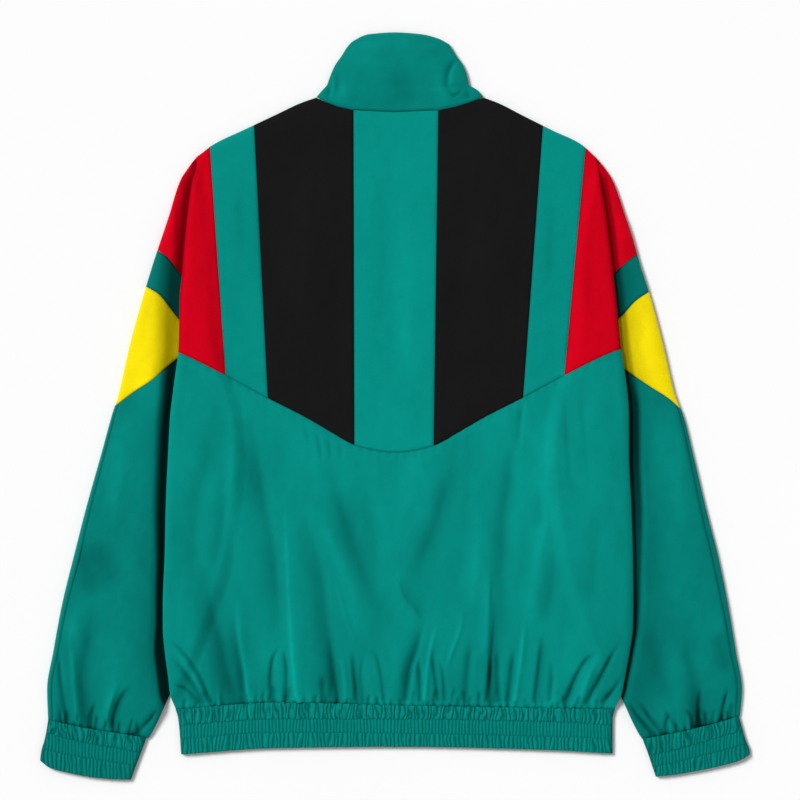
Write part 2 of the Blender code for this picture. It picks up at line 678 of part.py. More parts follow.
def lower_sleeves():
    for side, word in SIDES.items():
        def top_line(place, side=side):
            return band_seam["yellow_green"][side](abs(place)) - SEAM

        def bottom_line(place, side=side):
            return cuff_line[side]["seam"](abs(place)) + SEAM / 2

        def level(place, height, side=side):
            width = abs(place)
            ends = ease((width - tuck(height)) / 12) * ease(
                edge_distance(outline[side], width, height) / 10 - 0.5)
            return sleeve_back_level(side, width, height) + ends * fold_relief(
                SLEEVE_FOLDS[side], width, height)

        # columns from the overarm seam, over the sleeve, down under the body and in to the tuck
        def column(first, last, share, side=side):
            return lambda height: side * mix(first(side, height), last(side, height), share)

        def overarm(side, height):
            return outline[side](height) - overarm_inset(height) - SEAM

        def ridge(side, height):
            shown = body_edge[side](height) + DIVE_START + DIVE_RUN + 1
            return max(shown, tuck(height) + ROLL)

        def foot(side, height):
            return max(body_edge[side](height) + DIVE_START, tuck(height) + ROLL / 2)

        def inner(side, height):
            return tuck(height)

        columns = [column(overarm, ridge, i / 6) for i in range(6)]
        columns += [column(ridge, foot, share) for share in (0.0, 0.4)]
        columns += [column(foot, inner, share) for share in (0.0, 0.35, 0.7, 0.92, 1.0)]
        lines = spread(bottom_line, top_line,
                       (0.0, 0.04, 0.08, 0.12, 0.16, 0.21, 0.34, 0.48, 0.62, 0.76, 0.9, 1.0))
        wall("sleeve_back_" + word, green, net(columns, lines, level))
        wall("sleeve_front_" + word, green, sleeve_front(side, lines))


def sleeve_front(side, lines):
    """The front wall lies on the surface and turns over the outer edge to the overarm seam."""
    def overarm_seam(height):
        return side * (outline[side](height) - overarm_inset(height) + SEAM / 2)

    flat = spread(signed(tuck, side), signed(outline[side], side, ROLL), stations(140.0, 8, (ROLL,)))
    points = net(flat, lines, lambda place, height: sleeve_front_level(side, abs(place), height))
    for row, line in zip(points, lines):
        for step in WRAP:
            place, height = crossing(signed(outline[side], side, step["inset"]), line)
            row.append((place, height, mix(FLOOR, BACK, step["climb"])))
        place, height = crossing(overarm_seam, line)
        row.append((place, height, BACK - 0.05))
    return points


def cuffs():
    for side, word in SIDES.items():
        lines = {name: (lambda place, line=line: line(abs(place)))
                 for name, line in cuff_line[side].items()}
        lines = banded(lines)

        def distance(place, height, side=side):
            return min(edge_distance(cuff_outer[side], abs(place), height),
                       -edge_distance(cuff_inner[side], abs(place), height))

        def back(place, height):
            return upper(BACK, FLOOR, distance(place, height))

        def front(place, height):
            return lower(BACK, FLOOR, distance(place, height))

        ribs = [i / (2 * CUFF_RIBS) for i in range(2 * CUFF_RIBS + 1)]
        columns = spread(signed(cuff_inner[side], side), signed(cuff_outer[side], side), ribs)
        plain = spread(signed(cuff_inner[side], side, -WALL), signed(cuff_outer[side], side, WALL),
                       stations(95.0, 4, (2.0, 6.0), (2.0, 6.0)))
        shirred("cuff_back_" + word, lines, columns, plain, back)
        columns = spread(signed(cuff_inner[side], side, -WALL / 2),
                         signed(cuff_outer[side], side, WALL / 2),
                         stations(95.0, 6, ROUND_STEPS, ROUND_STEPS))
        row_lines = spread(lines["edge"], lines["seam"], (0.0, 0.5, 1.0))
        wall("cuff_front_" + word, green, net(columns, row_lines, front))


# ---------------------------------------------------------------- collar

def collar():
    def distance(place, height):
        side = side_of(place)
        return edge_distance(collar_side[side], abs(place), height)

    def back(place, height):
        top_edge = (collar_top_height(place) - height) * 1.5
        return upper(BACK, FLOOR, min(distance(place, height), top_edge))

    def front(place, height):
        return lower(BACK, FLOOR, distance(place, height))

    def seam(place):
        return collar_seam_height[side_of(place)](abs(place)) + SEAM / 2

    edges = {side: signed(collar_side[side], side, WALL / 2) for side in SIDES}
    columns = spread(edges[LEFT], edges[RIGHT], stations(150.0, 7, ROUND_STEPS, ROUND_STEPS))
    lines = spread(seam, collar_top_height, stations(80.0, 4, near_end=ROUND_STEPS))
    wall("collar_back", green, net(columns, lines, back))
    for side, word in SIDES.items():
        columns = spread(lambda height, side=side: side * ZIP_EDGE, edges[side],
                         stations(70.0, 5, near_end=ROUND_STEPS))
        lines = spread(moved(seam, HIDDEN_GAP), collar_top_height, stations(80.0, 3))
        wall("collar_front_" + word, green, net(columns, lines, front))


# ---------------------------------------------------------------- front

def front_edge(side, height):
    """Outer edge of a front: its armhole, its underarm corner, then its side."""
    upper_part, lower_part = FRONT_CORNER
    if height > upper_part:
        return armhole[side](height) - SEAM / 2
    share = ease((upper_part - height) / (upper_part - lower_part))
    return mix(armhole[side](height) - SEAM / 2, body_edge[side](height) - WALL / 2, share)


def front_columns(side):
    """Even columns to the step over the sleeve, then up it, then close together at the edge."""
    def zip_edge(height):
        return side * ZIP_EDGE

    def step_foot(height):
        return side * min(tuck(height) - LIFT_RUN, front_edge(side, height) - 20)

    def step_top(height):
        return side * min(tuck(height), front_edge(side, height) - 8)

    def near_edge(inset):
        return lambda height: side * (front_edge(side, height) - inset)

    columns = spread(zip_edge, step_foot, stations(1.0, 8))
    columns += spread(step_foot, step_top, (0.3, 0.55, 0.8, 1.0))
    return columns + [near_edge(inset) for inset in reversed((0.0,) + ROUND_STEPS)]


def fronts():
    for side, word in SIDES.items():
        def top(place, side=side):
            # level beyond the armhole, so that no row runs along the underarm corner
            return top_height(side * min(abs(place), armhole[side](SHOULDER_TOP)))

        lines = spread(moved(hem_line["seam"], SEAM / 2), top,
                       (0.0, 0.03, 0.06, 0.09, 0.14, 0.22, 0.34, 0.46, 0.56, 0.6, 0.62, 0.64, 0.655,
                        0.67, 0.685, 0.7, 0.75, 0.85, 0.96, 0.99, 1.0))
        wall("front_" + word, green, net(front_columns(side), lines, front_level))

        hem_columns = spread(lambda height, side=side: side * ZIP_EDGE,
                             signed(body_edge[side], side, WALL / 2),
                             stations(225.0, 5, near_end=ROUND_STEPS))
        hem_lines = spread(hem_line["edge"], moved(hem_line["seam"], -SEAM / 2), (0.0, 0.5, 1.0))
        wall("hem_band_front_" + word, green, net(hem_columns, hem_lines, front_level))

        columns = spread(lambda height, side=side: side * (armhole[side](height) + SEAM / 2),
                         signed(outline[side], side, WALL / 2),
                         stations(50.0, 5, near_end=ROUND_STEPS))
        seam = band_seam["red_green"][side]
        lines = spread(lambda place, seam=seam: seam(abs(place)) + SEAM, lambda place: 266.0,
                       (0.0, 0.25, 0.5, 0.7, 0.85, 1.0))
        wall("shoulder_front_" + word, red, net(
            columns, lines,
            lambda place, height, side=side: lower(
                BACK, FLOOR, edge_distance(outline[side], abs(place), height))))


# ---------------------------------------------------------------- zip

def closed_zip():
    """Tapes and a raised chain, as one straight section, with the slider at the top."""
    tape, chain = TAPE_WIDTH / 2, CHAIN_WIDTH / 2
    section = [(-tape, 0.0), (tape, 0.0), (tape, TAPE_THICKNESS), (chain, TAPE_THICKNESS),
               (chain, CHAIN_THICKNESS), (-chain, CHAIN_THICKNESS), (-chain, TAPE_THICKNESS),
               (-tape, TAPE_THICKNESS)]
    mesh_data = bmesh.new()
    corners = [mesh_data.verts.new(Vector((x, ZIP_FOOT, z)) * MM) for x, z in section]
    face = mesh_data.faces.new(corners)
    stretched = bmesh.ops.extrude_face_region(mesh_data, geom=[face])
    moved_corners = [item for item in stretched["geom"] if isinstance(item, bmesh.types.BMVert)]
    length = ZIP_HEAD - SLIDER[1] - SEAM - ZIP_FOOT
    bmesh.ops.translate(mesh_data, vec=Vector((0, length, 0)) * MM, verts=moved_corners)
    add_object("zip", mesh_data, zip_finish)

    mesh_data = bmesh.new()
    bmesh.ops.create_cube(mesh_data, size=1.0)
    bmesh.ops.scale(mesh_data, vec=Vector(SLIDER) * MM, verts=mesh_data.verts)
    middle = Vector((0, ZIP_HEAD - SLIDER[1] / 2, SLIDER[2] / 2)) * MM
    bmesh.ops.translate(mesh_data, vec=middle, verts=mesh_data.verts)
    bmesh.ops.bevel(mesh_data, geom=list(mesh_data.edges), offset=0.6 * MM, segments=1,
                    affect="EDGES", profile=0.5)
    add_object("zip_slider", mesh_data, zip_finish)


for startup_object in list(bpy.data.objects):
    bpy.data.objects.remove(startup_object)
jacket = bpy.data.collections.new("training_jacket")
bpy.context.scene.collection.children.link(jacket)
green = material("green_cloth", GREEN, 0.62)
black = material("black_cloth", BLACK, 0.60)
red = material("red_cloth", RED, 0.60)
yellow = material("yellow_cloth", YELLOW, 0.60)
zip_finish = material("zip_plastic", ZIP_GREEN, 0.45)

yoke()
shoulders()
lower_back()
hem_band()
sleeve_bands()
lower_sleeves()
cuffs()
collar()
fronts()
closed_zip()
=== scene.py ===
import math

import bpy
import numpy as np
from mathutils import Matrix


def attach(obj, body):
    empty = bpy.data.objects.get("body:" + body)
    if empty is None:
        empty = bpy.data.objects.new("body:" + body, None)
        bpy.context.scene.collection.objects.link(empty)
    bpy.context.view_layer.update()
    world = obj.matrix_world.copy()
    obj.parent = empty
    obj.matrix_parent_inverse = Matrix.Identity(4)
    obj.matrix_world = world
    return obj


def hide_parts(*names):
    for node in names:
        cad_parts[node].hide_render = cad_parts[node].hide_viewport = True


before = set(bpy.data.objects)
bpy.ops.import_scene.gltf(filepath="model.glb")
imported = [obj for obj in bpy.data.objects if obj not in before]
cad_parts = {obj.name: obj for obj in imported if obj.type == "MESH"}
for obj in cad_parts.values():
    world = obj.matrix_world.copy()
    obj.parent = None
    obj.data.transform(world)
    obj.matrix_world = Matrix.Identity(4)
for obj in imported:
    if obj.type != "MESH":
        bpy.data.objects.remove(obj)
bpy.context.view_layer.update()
print("frame loaded")

# Millimetres here, metres in the meshes. A width is a distance from the centre back, and a place is
# a width with its sign: the wearer's right is positive. A height runs from the hem to the collar.
mm = 0.001
left, right = -1, 1
sides = {left: "left", right: "right"}

cloth = {
    "thickness": 0.8,
    "seamGap": 0.06,        # half of the gap between two panels
    "seamDip": 0.55,        # how far a panel's edge sinks into its seam
    "seamWidth": 1.6, "seamShade": 0.2,
    "hiddenShade": 0.15,
    "edgeInset": 0.4,       # from a panel's outline to the middle of its cloth
    "neutral": 0.8}         # plain shade, so that a ridge can be lighter and a trough darker
gap = cloth["seamGap"]

lay = {                     # how the panels lie on each other
    "floor": 0.42, "back": 5.2, "tucked": 2.6,
    "lift": 3.9, "liftRun": 16.0,                          # the body's edge lies on the sleeve
    "roll": 9.0,            # how wide a folded edge rounds over
    "bodyRim": 0.45, "sleeveRim": 0.4,                     # half of the room between back and front there
    "foldStart": 262.0, "foldRun": 28.0, "armpit": 94.0, "armpitRun": 14.0,
    "air": 2.2,             # how far the back stands clear of the fronts
    "opening": 5.0,         # half of the space between the fronts, where the zip is
    "bodyPuff": 2.2, "sleevePuff": 5.2, "collarPuff": 2.2,
    "slotStart": 0.2, "slotRun": 3.0}                      # where the sleeve dives under the body's edge


def table(names, *rows):
    return {name: np.array(column, float) for name, column in zip(names.split(), zip(*rows))}


outlineTable = table(
    "height left right",
    (328, 83.5, 94), (322, 100.5, 110), (309.5, 127, 134.5), (292.5, 163, 168.5), (280, 189.5, 195),
    (267, 208, 210), (254.5, 218.5, 221.5), (241.5, 227, 230), (229, 232, 235.5), (203.5, 239.5, 244),
    (178, 248, 252.5), (152.5, 256.5, 259.5), (114.5, 268, 271.5), (63.5, 282, 285),
    (12.5, 293.5, 297), (-12.5, 301, 306.5), (-51, 311.5, 316), (-108, 327.5, 329.5),
    (-159, 340.5, 342.5), (-210, 353, 353), (-261, 362.5, 361.5), (-301, 369, 368), (-333, 368, 365.5))
bodyEdgeTable = table(
    "height left right",
    (264, 210.5, 213), (255.5, 210.5, 215.5), (235.5, 215.5, 218.5), (209, 219.5, 223),
    (176, 223, 227.5), (141, 226, 231.5), (114.5, 228.5, 234.5), (89, 229, 237), (57, 230, 240.5),
    (38, 232.6, 243.6), (12.5, 236, 247), (-12.5, 238.8, 248.5), (-51, 240.9, 248.5),
    (-108, 243.4, 251), (-159, 244.5, 252.5), (-210, 246.4, 253), (-235.5, 246.4, 252.5),
    (-261, 244.3, 249), (-286, 241, 244.5), (-306.5, 238.7, 240.5), (-322, 233, 233.5),
    (-333, 230, 231), (-370, 227, 231))
# painted shadow: the slot beside the body is darkened in the cloth's colour, as these rows give
gapTables = {           # the dark slot beside the body: its width, how softly it ends, and its light
    left: table(
        "height black soft light",
        (120, 5, 11, 0.50), (56, 7.5, 14, 0.44), (48, 7.5, 13, 0.07), (38, 7.5, 12, 0.05),
        (6, 5, 14, 0.04), (-36, 6.6, 10, 0.03), (-100, 6.4, 9, 0.035), (-163, 5.6, 6, 0.008),
        (-227, 6, 3, 0.006), (-269, 10.6, 2.6, 0.006), (-310, 10, 3, 0.020)),
    right: table(
        "height black soft light",
        (120, 5.5, 4, 0.44), (56, 7, 4.5, 0.42), (44, 6, 9, 0.30), (38, 4.5, 12, 0.14),
        (20, 5.5, 10, 0.07), (6, 7.6, 8, 0.03), (-36, 8.6, 6.5, 0.03), (-100, 8.8, 5.5, 0.16),
        (-163, 6.6, 4.5, 0.26), (-227, 4.2, 4.2, 0.13), (-269, 2.6, 4.2, 0.12),
        (-310, 2.4, 3.6, 0.08))}
tuckTable = table(                                   # hidden inner edge of the sleeve
    "height width",
    (257, 216), (245, 217), (235, 216), (225, 213.5), (209, 209.5), (180, 205), (112.5, 201.5),
    (72, 200.5), (38, 191), (-4, 177), (-46.5, 173), (-152.5, 183.5), (-258.5, 217.5), (-306.5, 239.5),
    (-348.5, 259.5), (-356, 265))
armholeTable = table("height left right", (275.5, 196.5, 202.5), (76, 200.5, 200.5))
collarSeamTable = table(
    "height left right",
    (312, 0, 0), (314, 44, 46.5), (318, 61.5, 65.5), (322.5, 72.5, 79), (328, 83.5, 94))
collarSideTable = table(
    "height left right",
    (328, 83.5, 94), (335, 77.5, 88), (341.5, 72, 78.5), (347.5, 70, 77.5), (360.5, 64.5, 73),
    (373, 56, 64.5), (379.5, 52, 60.5), (386, 46.5, 56), (391.5, 38, 48))
collarTopTable = table(
    "place height",
    (-49, 384), (-37, 391.5), (-27.5, 394.5), (0, 396.4), (27.5, 394.5), (45.5, 390), (58, 383.5))
stripeTables = {
    "inner": table("height left right", (312.5, 44, 46), (-41.5, 43, 41)),
    "middle": table("height left right", (296, 149.5, 157), (9, 135, 136)),
    "outer": table("height left right", (275.5, 196.5, 202.5), (33.5, 180, 180))}
yokeTable = table(
    "width height",
    (0, -49), (8, -48.8), (21, -47), (42.5, -41.5), (69, -27), (94, -12.5), (136, 9), (181.5, 33.5),
    (230, 57), (240.5, 60.5))
bandTables = {
    "redGreen": table(
        "leftWidth leftHeight rightWidth rightHeight",
        (201.5, 112.5, 201.5, 112.5), (226.5, 138.5, 224.5, 131), (241.5, 158, 238, 146),
        (252.5, 165.5, 257.5, 162)),
    "greenYellow": table(
        "leftWidth leftHeight rightWidth rightHeight",
        (200.5, 73.5, 200.5, 73.5), (228, 91, 238, 93.5), (250.5, 118.5, 256, 112),
        (264.5, 127, 269.5, 121)),
    "yellowGreen": table(
        "leftWidth leftHeight rightWidth rightHeight",
        (200.5, 69, 200.5, 69), (231.5, 50.5, 238, 43), (259.5, 26.5, 268.5, 22),
        (276.5, 15.5, 290.5, 8), (296.5, 0.5, 302.5, -2.5))}
overarmTable = table(
    "height inset", (0, 3.2), (-60, 4), (-170, 6), (-250, 5), (-335, 4.5))
hemTable = table(
    "place seam stitchOne stitchTwo edge",
    (-230, -322, -339, -354, -370), (-126, -315, -332.5, -346.5, -363),
    (5.5, -318, -332.5, -347.5, -361.5), (163, -321, -335, -351, -365),
    (233, -322, -339, -353.5, -369))
cuffTables = {
    left: table(
        "width seam stitchOne stitchTwo edge",
        (262, -352.5, -369.5, -384, -396.5), (290, -348, -364.5, -379.5, -396.3),
        (316, -344, -360, -375.5, -394.5), (345, -338.5, -354, -371, -389.5),
        (366, -333.5, -348, -366, -384), (378, -330.5, -345, -363, -375)),
    right: table(
        "width seam stitchOne stitchTwo edge",
        (262, -353.5, -372.5, -385, -394.5), (290, -348.5, -367, -380, -392),
        (316, -343, -360, -373.5, -388), (345, -335.5, -351.5, -366.5, -382),
        (366, -329, -345, -360.5, -376), (378, -325.5, -341.5, -357.5, -369))}
cuffSideTable = table(
    "height outerLeft outerRight innerLeft innerRight",
    (-329, 367.5, 365, 257, 254.5), (-354, 372, 372, 264.5, 263), (-366, 375.5, 376.5, 269, 267.5),
    (-397, 379, 378.5, 280.5, 278))


def smoothLine(keys, values):
    # smooth through the points, with no overshoot, and held at its ends
    order = np.argsort(keys)
    k, v = np.asarray(keys, float)[order], np.asarray(values, float)[order]
    chord = np.diff(v) / np.diff(k)
    product, total = chord[:-1] * chord[1:], chord[:-1] + chord[1:]
    inner = np.where(product > 0, 2 * product / np.where(product > 0, total, 1), 0)
    slope = np.concatenate([chord[:1], inner, chord[-1:]])

    def line(key):
        held = np.clip(key, k[0], k[-1])
        i = np.clip(np.searchsorted(k, held, side="right") - 1, 0, len(k) - 2)
        span = k[i + 1] - k[i]
        t = (held - k[i]) / span
        start = v[i] * (2 * t**3 - 3 * t**2 + 1) + slope[i] * span * (t**3 - 2 * t**2 + t)
        end = v[i + 1] * (3 * t**2 - 2 * t**3) + slope[i + 1] * span * (t**3 - t**2)
        return start + end
    return line


def straightLine(keys, values):
    order = np.argsort(keys)
    return lambda key: np.interp(key, keys[order], values[order])


def linesOf(rows, key, names):
    return {name: smoothLine(rows[key], rows[name]) for name in names}


def onBothSides(make):
    return {side: make(word) for side, word in sides.items()}


def sideLines(rows, start=""):
    # a column of widths for each side, named by the side, or by a word and the side
    return onBothSides(lambda word: smoothLine(rows["height"], rows[start + word.title() if start else word]))


outline, bodyEdge, armhole, collarSide = map(
    sideLines, (outlineTable, bodyEdgeTable, armholeTable, collarSideTable))
cuffOuter, cuffInner = sideLines(cuffSideTable, "outer"), sideLines(cuffSideTable, "inner")
stripeSeam = {name: sideLines(rows) for name, rows in stripeTables.items()}
shoulderRows = 12           # the outline's first rows, down to where it turns steep
shoulderHeight = onBothSides(lambda word: smoothLine(
    outlineTable[word][:shoulderRows], outlineTable["height"][:shoulderRows]))
collarSeam = onBothSides(lambda word: straightLine(collarSeamTable[word], collarSeamTable["height"]))
bandSeam = {
    name: onBothSides(lambda word: smoothLine(rows[word + "Width"], rows[word + "Height"]))
    for name, rows in bandTables.items()}
tuck = smoothLine(tuckTable["height"], tuckTable["width"])
yokeSeam = smoothLine(yokeTable["width"], yokeTable["height"])
overarmInset = smoothLine(overarmTable["height"], overarmTable["inset"])
collarTop = smoothLine(collarTopTable["place"], collarTopTable["height"])
bandRows = ("seam", "stitchOne", "stitchTwo", "edge")
hemLine = linesOf(hemTable, "place", bandRows)
cuffLine = {side: linesOf(rows, "width", bandRows) for side, rows in cuffTables.items()}
gapLine = {side: linesOf(rows, "height", ("black", "soft", "light")) for side, rows in gapTables.items()}
plainHemSeam = hemLine["seam"]


def scallopedSeam(place):
    # the elastic draws the seam into small uneven waves
    return plainHemSeam(place) + 0.9 * np.abs(np.sin(place / 2.7 + 1.8 * np.sin(place / 29))) - 0.4


hemLine["seam"] = scallopedSeam


def ease(share):
    share = np.clip(share, 0, 1)
    return share * share * (3 - 2 * share)


def mix(start, end, share):
    return start + (end - start) * share


def onSide(lines, place, key):
    return np.where(place > 0, lines[right](key), lines[left](key))


def edgeDistance(lines, place, height):
    # distance in from an edge that is given as a width for each height
    slope = (onSide(lines, place, height + 2) - onSide(lines, place, height - 2)) / 4
    return (onSide(lines, place, height) - np.abs(place)) / np.hypot(1, slope)


def roundOver(distance, roll=lay["roll"]):
    share = np.clip(distance / roll, 0, 1)
    return np.sqrt(1 - (1 - share)**2)


def folded(height):
    # 0 above the shoulder's fold, 1 where the sleeve lies fully under the body
    return ease((lay["foldStart"] - height) / lay["foldRun"])


def stepUp(place, height):
    return lay["lift"] * ease((np.abs(place) - tuck(height) + lay["liftRun"]) / lay["liftRun"])


def bodyTop(place, height):
    edge = onSide(bodyEdge, place, height)
    puff = lay["bodyPuff"] * ease((np.abs(place) - edge + 75) / 55) * ease((170 - height) / 110)
    air = lay["air"] * ease((285 - height) / 90) * ease((edge + 20 - np.abs(place)) / 60)
    return lay["back"] + stepUp(place, height) * folded(height) + (puff + air) * ease((height + 318) / 40)


def bodyBottom(place, height):
    return lay["floor"] + stepUp(place, height) * ease((lay["armpit"] - height) / lay["armpitRun"])


def tubeHalf(level, other, rim, distance):
    # a half of a tube, at its own level but for its folded edge, where it meets the other half
    return mix((level + other) / 2 + rim, level, roundOver(distance))


def frontHalf(distance):
    # the front half of a part that lies flat on the surface
    return tubeHalf(lay["floor"], lay["back"], -lay["bodyRim"], distance)


def bodyDistance(place, height, high):
    return np.where(high, edgeDistance(outline, place, height), edgeDistance(bodyEdge, place, height))


def backLevel(place, height):
    high = height > yokeTable["height"][-1]
    bottom = np.where(high, lay["floor"], bodyBottom(place, height))
    return tubeHalf(bodyTop(place, height), bottom, lay["bodyRim"], bodyDistance(place, height, high))


def frontLevel(place, height):
    high = height > armholeTable["height"][-1]
    top = np.where(high, lay["back"], bodyTop(place, height))
    return tubeHalf(bodyBottom(place, height), top, -lay["bodyRim"], bodyDistance(place, height, high))


def slotAt(side, width, height):
    # the distance from where the sleeve starts to dive under the body's edge, and the dive's run
    shown = width - bodyEdge[side](height) - lay["slotStart"]
    return shown, gapLine[side]["black"](height) + lay["slotRun"]


def sleeveTop(side, width, height):
    shown, run = slotAt(side, width, height)
    sunk = (lay["back"] - lay["tucked"]) * (1 - ease(shown / run)) * folded(height)
    broad = outline[side](height) - bodyEdge[side](height) - lay["slotStart"]
    end = ease((height - cuffLine[side]["seam"](width)) / 40)
    puff = lay["sleevePuff"] * ease(shown / (run + 6)) * (1 - 0.75 * np.clip(shown / broad, 0, 1)**1.4)
    return lay["back"] - sunk + puff * ease((245 - height) / 110) * end


def sleeveLevel(side, width, height, half="back"):
    top, floor, rim = sleeveTop(side, width, height), lay["floor"], lay["sleeveRim"]
    slope = (tuck(height + 2) - tuck(height - 2)) / 4
    outer = edgeDistance(outline, side * width, height)
    inner = (width - tuck(height)) / np.hypot(1, slope)
    if half == "back":
        return tubeHalf(top, floor, rim, np.minimum(outer, inner))
    bottom = mix(floor, tubeHalf(floor, top, -rim, inner), ease(top + 1 - lay["back"]))
    return np.where(outer < inner, tubeHalf(floor, top, -rim, outer), bottom)


def gapShade(side, width, height):
    # the slot between the body and the sleeve is in deep shadow
    away = width - bodyEdge[side](height)
    black, soft, light = (line(height) for line in gapLine[side].values())
    if side == right:
        light = light / mix(0.3, 1, ease(away / 4))         # the body already shades this side
    return mix(1, mix(np.minimum(light, 1), 1, ease((away - black) / soft)), folded(height))


def smoothPath(points, spacing):
    points = np.array(points, float)
    run = np.concatenate([[0], np.cumsum(np.hypot(*np.diff(points, axis=0).T))])
    at = np.linspace(0, run[-1], max(3, int(run[-1] / spacing) + 1))
    return np.stack([smoothLine(run, points[:, 0])(at), smoothLine(run, points[:, 1])(at)], axis=1)


crease = {
    # darken and lighten: painted shade in a fold's trough and painted light on its ridge, for each mm of its rise
    "spacing": 6, "fadeIn": 0.4, "fadeOut": 0.35, "sharpness": 1.7, "darken": 0.10, "lighten": 0.09,
    "elastic": -296.0}      # a fold that ends under this height runs into the elastic, with no fading


def creases(strokes, place, height):
    # folds drawn one by one: a rise, a reach (or one to the left and one to the right) and the points of
    # the fold's line, from the top down
    rise, tone = np.zeros(place.shape), np.zeros(place.shape)
    for depth, reach, *points in strokes:
        toLeft, toRight = reach if isinstance(reach, tuple) else (reach, reach)
        path = smoothPath(points, crease["spacing"])
        low, high = path.min(0) - 3 * max(toLeft, toRight), path.max(0) + 3 * max(toLeft, toRight)
        near = (place > low[0]) & (place < high[0]) & (height > low[1]) & (height < high[1])
        x, y = place[near], height[near]
        if not len(x):
            continue
        steps = np.diff(path, axis=0)
        lengths = np.hypot(*steps.T)
        run = np.concatenate([[0], np.cumsum(lengths)])
        best, share, hand = np.full(x.shape, 1e9), np.zeros(x.shape), np.zeros(x.shape)
        for i, (step, length) in enumerate(zip(steps, lengths)):
            along = np.clip(((x - path[i, 0]) * step[0] + (y - path[i, 1]) * step[1]) / length**2, 0, 1)
            dx, dy = x - path[i, 0] - along * step[0], y - path[i, 1] - along * step[1]
            away = dx * dx + dy * dy
            closer = away < best
            best = np.where(closer, away, best)
            share = np.where(closer, (run[i] + along * length) / run[-1], share)
            hand = np.where(closer, step[0] * dy - step[1] * dx, hand)
        fade = ease(share / crease["fadeIn"])
        wedge = mix(0.55, 1.2, share) if max(toLeft, toRight) < 4 else mix(0.85, 1.0, share)
        if points[-1][1] > crease["elastic"]:
            fade *= ease((1 - share) / crease["fadeOut"])
            wedge = 1.0
        fade *= 1 + 0.15 * np.sin(7 * share + 5 * depth + points[0][0])
        away = np.sqrt(best) / (np.where(hand > 0, toRight, toLeft) * wedge)
        core = np.exp(-away**crease["sharpness"])
        rise[near] += depth * fade * core
        # painted shade in the troughs and painted light on the ridges
        tone[near] += crease["darken" if depth < 0 else "lighten"] * depth * fade * core
    return rise, tone


def pleats(seam, first, last, pitch, seed, tallest=46, deepest=1.9):
    # the strokes of uneven pleats that run up from an elasticated seam
    pick = np.random.default_rng(seed)
    strokes, at = [], first + pitch * 0.4
    while at < last:
        tall = 7 + (tallest - 7) * pick.uniform() ** 2
        depth = -mix(0.7, deepest, pick.uniform()) * mix(0.8, 1, tall / tallest)
        lean, bow = pick.uniform(-0.3, 0.3), pick.uniform(-0.12, 0.12) * tall
        foot = float(seam(np.array(at)))
        wide = mix(1.1, 2.6, tall / tallest)
        reach = (wide * 1.5, wide * 0.8) if pick.uniform() < 0.6 else (wide * 0.8, wide * 1.5)
        strokes.append((depth, reach, (at + lean * tall, foot + tall),
                        (at + lean * tall * 0.5 + bow, foot + tall * 0.5), (at, foot - 1)))
        at += pitch * pick.uniform(0.45, 1.6)
    return strokes


fullTurn = 6.283


def ripple(place, height, seed, longest, size, lean=1.0):
    # soft unevenness of cloth that has been folded and laid out
    pick = np.random.default_rng(seed)
    total = np.zeros(np.shape(place))
    for step in range(12):
        wave = longest * 0.8**step
        turn, phase, bend = pick.uniform(-1, 1) * lean, pick.uniform(0, 6.3), pick.uniform(1, 2.5)
        along = place * math.cos(turn) + height * math.sin(turn)
        across = height * math.cos(turn) - place * math.sin(turn)
        total += size * 0.8**step * np.sin(fullTurn * along / wave + phase + bend * np.sin(across / wave * 2.1))
    return total


def gathers(along, above, seed, pitch, size, reach):
    # pleats that run up from an elasticated seam, uneven in pitch, depth and length
    pick = np.random.default_rng(seed)
    total = np.zeros(np.shape(along))
    for step in range(9):
        share = 0.55 + step * 0.28
        wave, phase = pitch * share * pick.uniform(0.92, 1.08), pick.uniform(0, 6.3)
        lean, slow = pick.uniform(-0.12, 0.12), pick.uniform(60, 150)
        strength = 0.55 + 0.45 * np.sin(fullTurn * along / slow + phase * 3)
        fall = np.exp(-np.maximum(above, 0) / (reach * share**0.8))
        turns = (along + lean * above) / wave
        total += size * 0.5 * share**0.35 * strength * fall * np.cos(fullTurn * turns + phase)
    return total


def stations(length, spacing, nearStart=(), nearEnd=()):
    first, last = [0, *nearStart], [length - step for step in reversed(nearEnd)] + [length]
    count = max(1, round((last[0] - first[-1]) / spacing))
    return np.concatenate([first, np.linspace(first[-1], last[0], count + 1)[1:-1], last]) / length


nearSeam = (0.5, 1.1, 1.9, 3.0)
nearFold = (0.25, 0.8, 1.6, 2.7, 4.1, 5.9, 8.0)


def net(columnPlace, rowHeight, u, v):
    # where the columns, a place for each height, meet the rows, a height for each place
    acrossShare, upShare = np.meshgrid(u, v)
    height = rowHeight(upShare, columnPlace(acrossShare, np.zeros_like(upShare)))
    for _ in range(16):
        place = columnPlace(acrossShare, height)
        height = height + 0.8 * (rowHeight(upShare, place) - height)
    return place, height


def seamDip(place, height, borders):
    # how far each point sinks, and how dark it is, beside the borders that are sewn
    dip = np.zeros(place.shape)
    distances = {
        "first": np.hypot(place - place[:, :1], height - height[:, :1]),
        "last": np.hypot(place - place[:, -1:], height - height[:, -1:]),
        "foot": np.abs(height - height[:1]), "head": np.abs(height - height[-1:])}
    for border in borders.split():
        dip = np.maximum(dip, np.exp(-(distances[border] / cloth["seamWidth"])**2))
    return dip


def settle(place, height, level, tone, borders):
    dip = seamDip(place, height, borders)
    return level - cloth["seamDip"] * dip, tone - cloth["seamShade"] * dip


def rimPlace(lines, side, height):
    # where a panel's free edge lies
    return side * (lines[side](height) - cloth["edgeInset"])


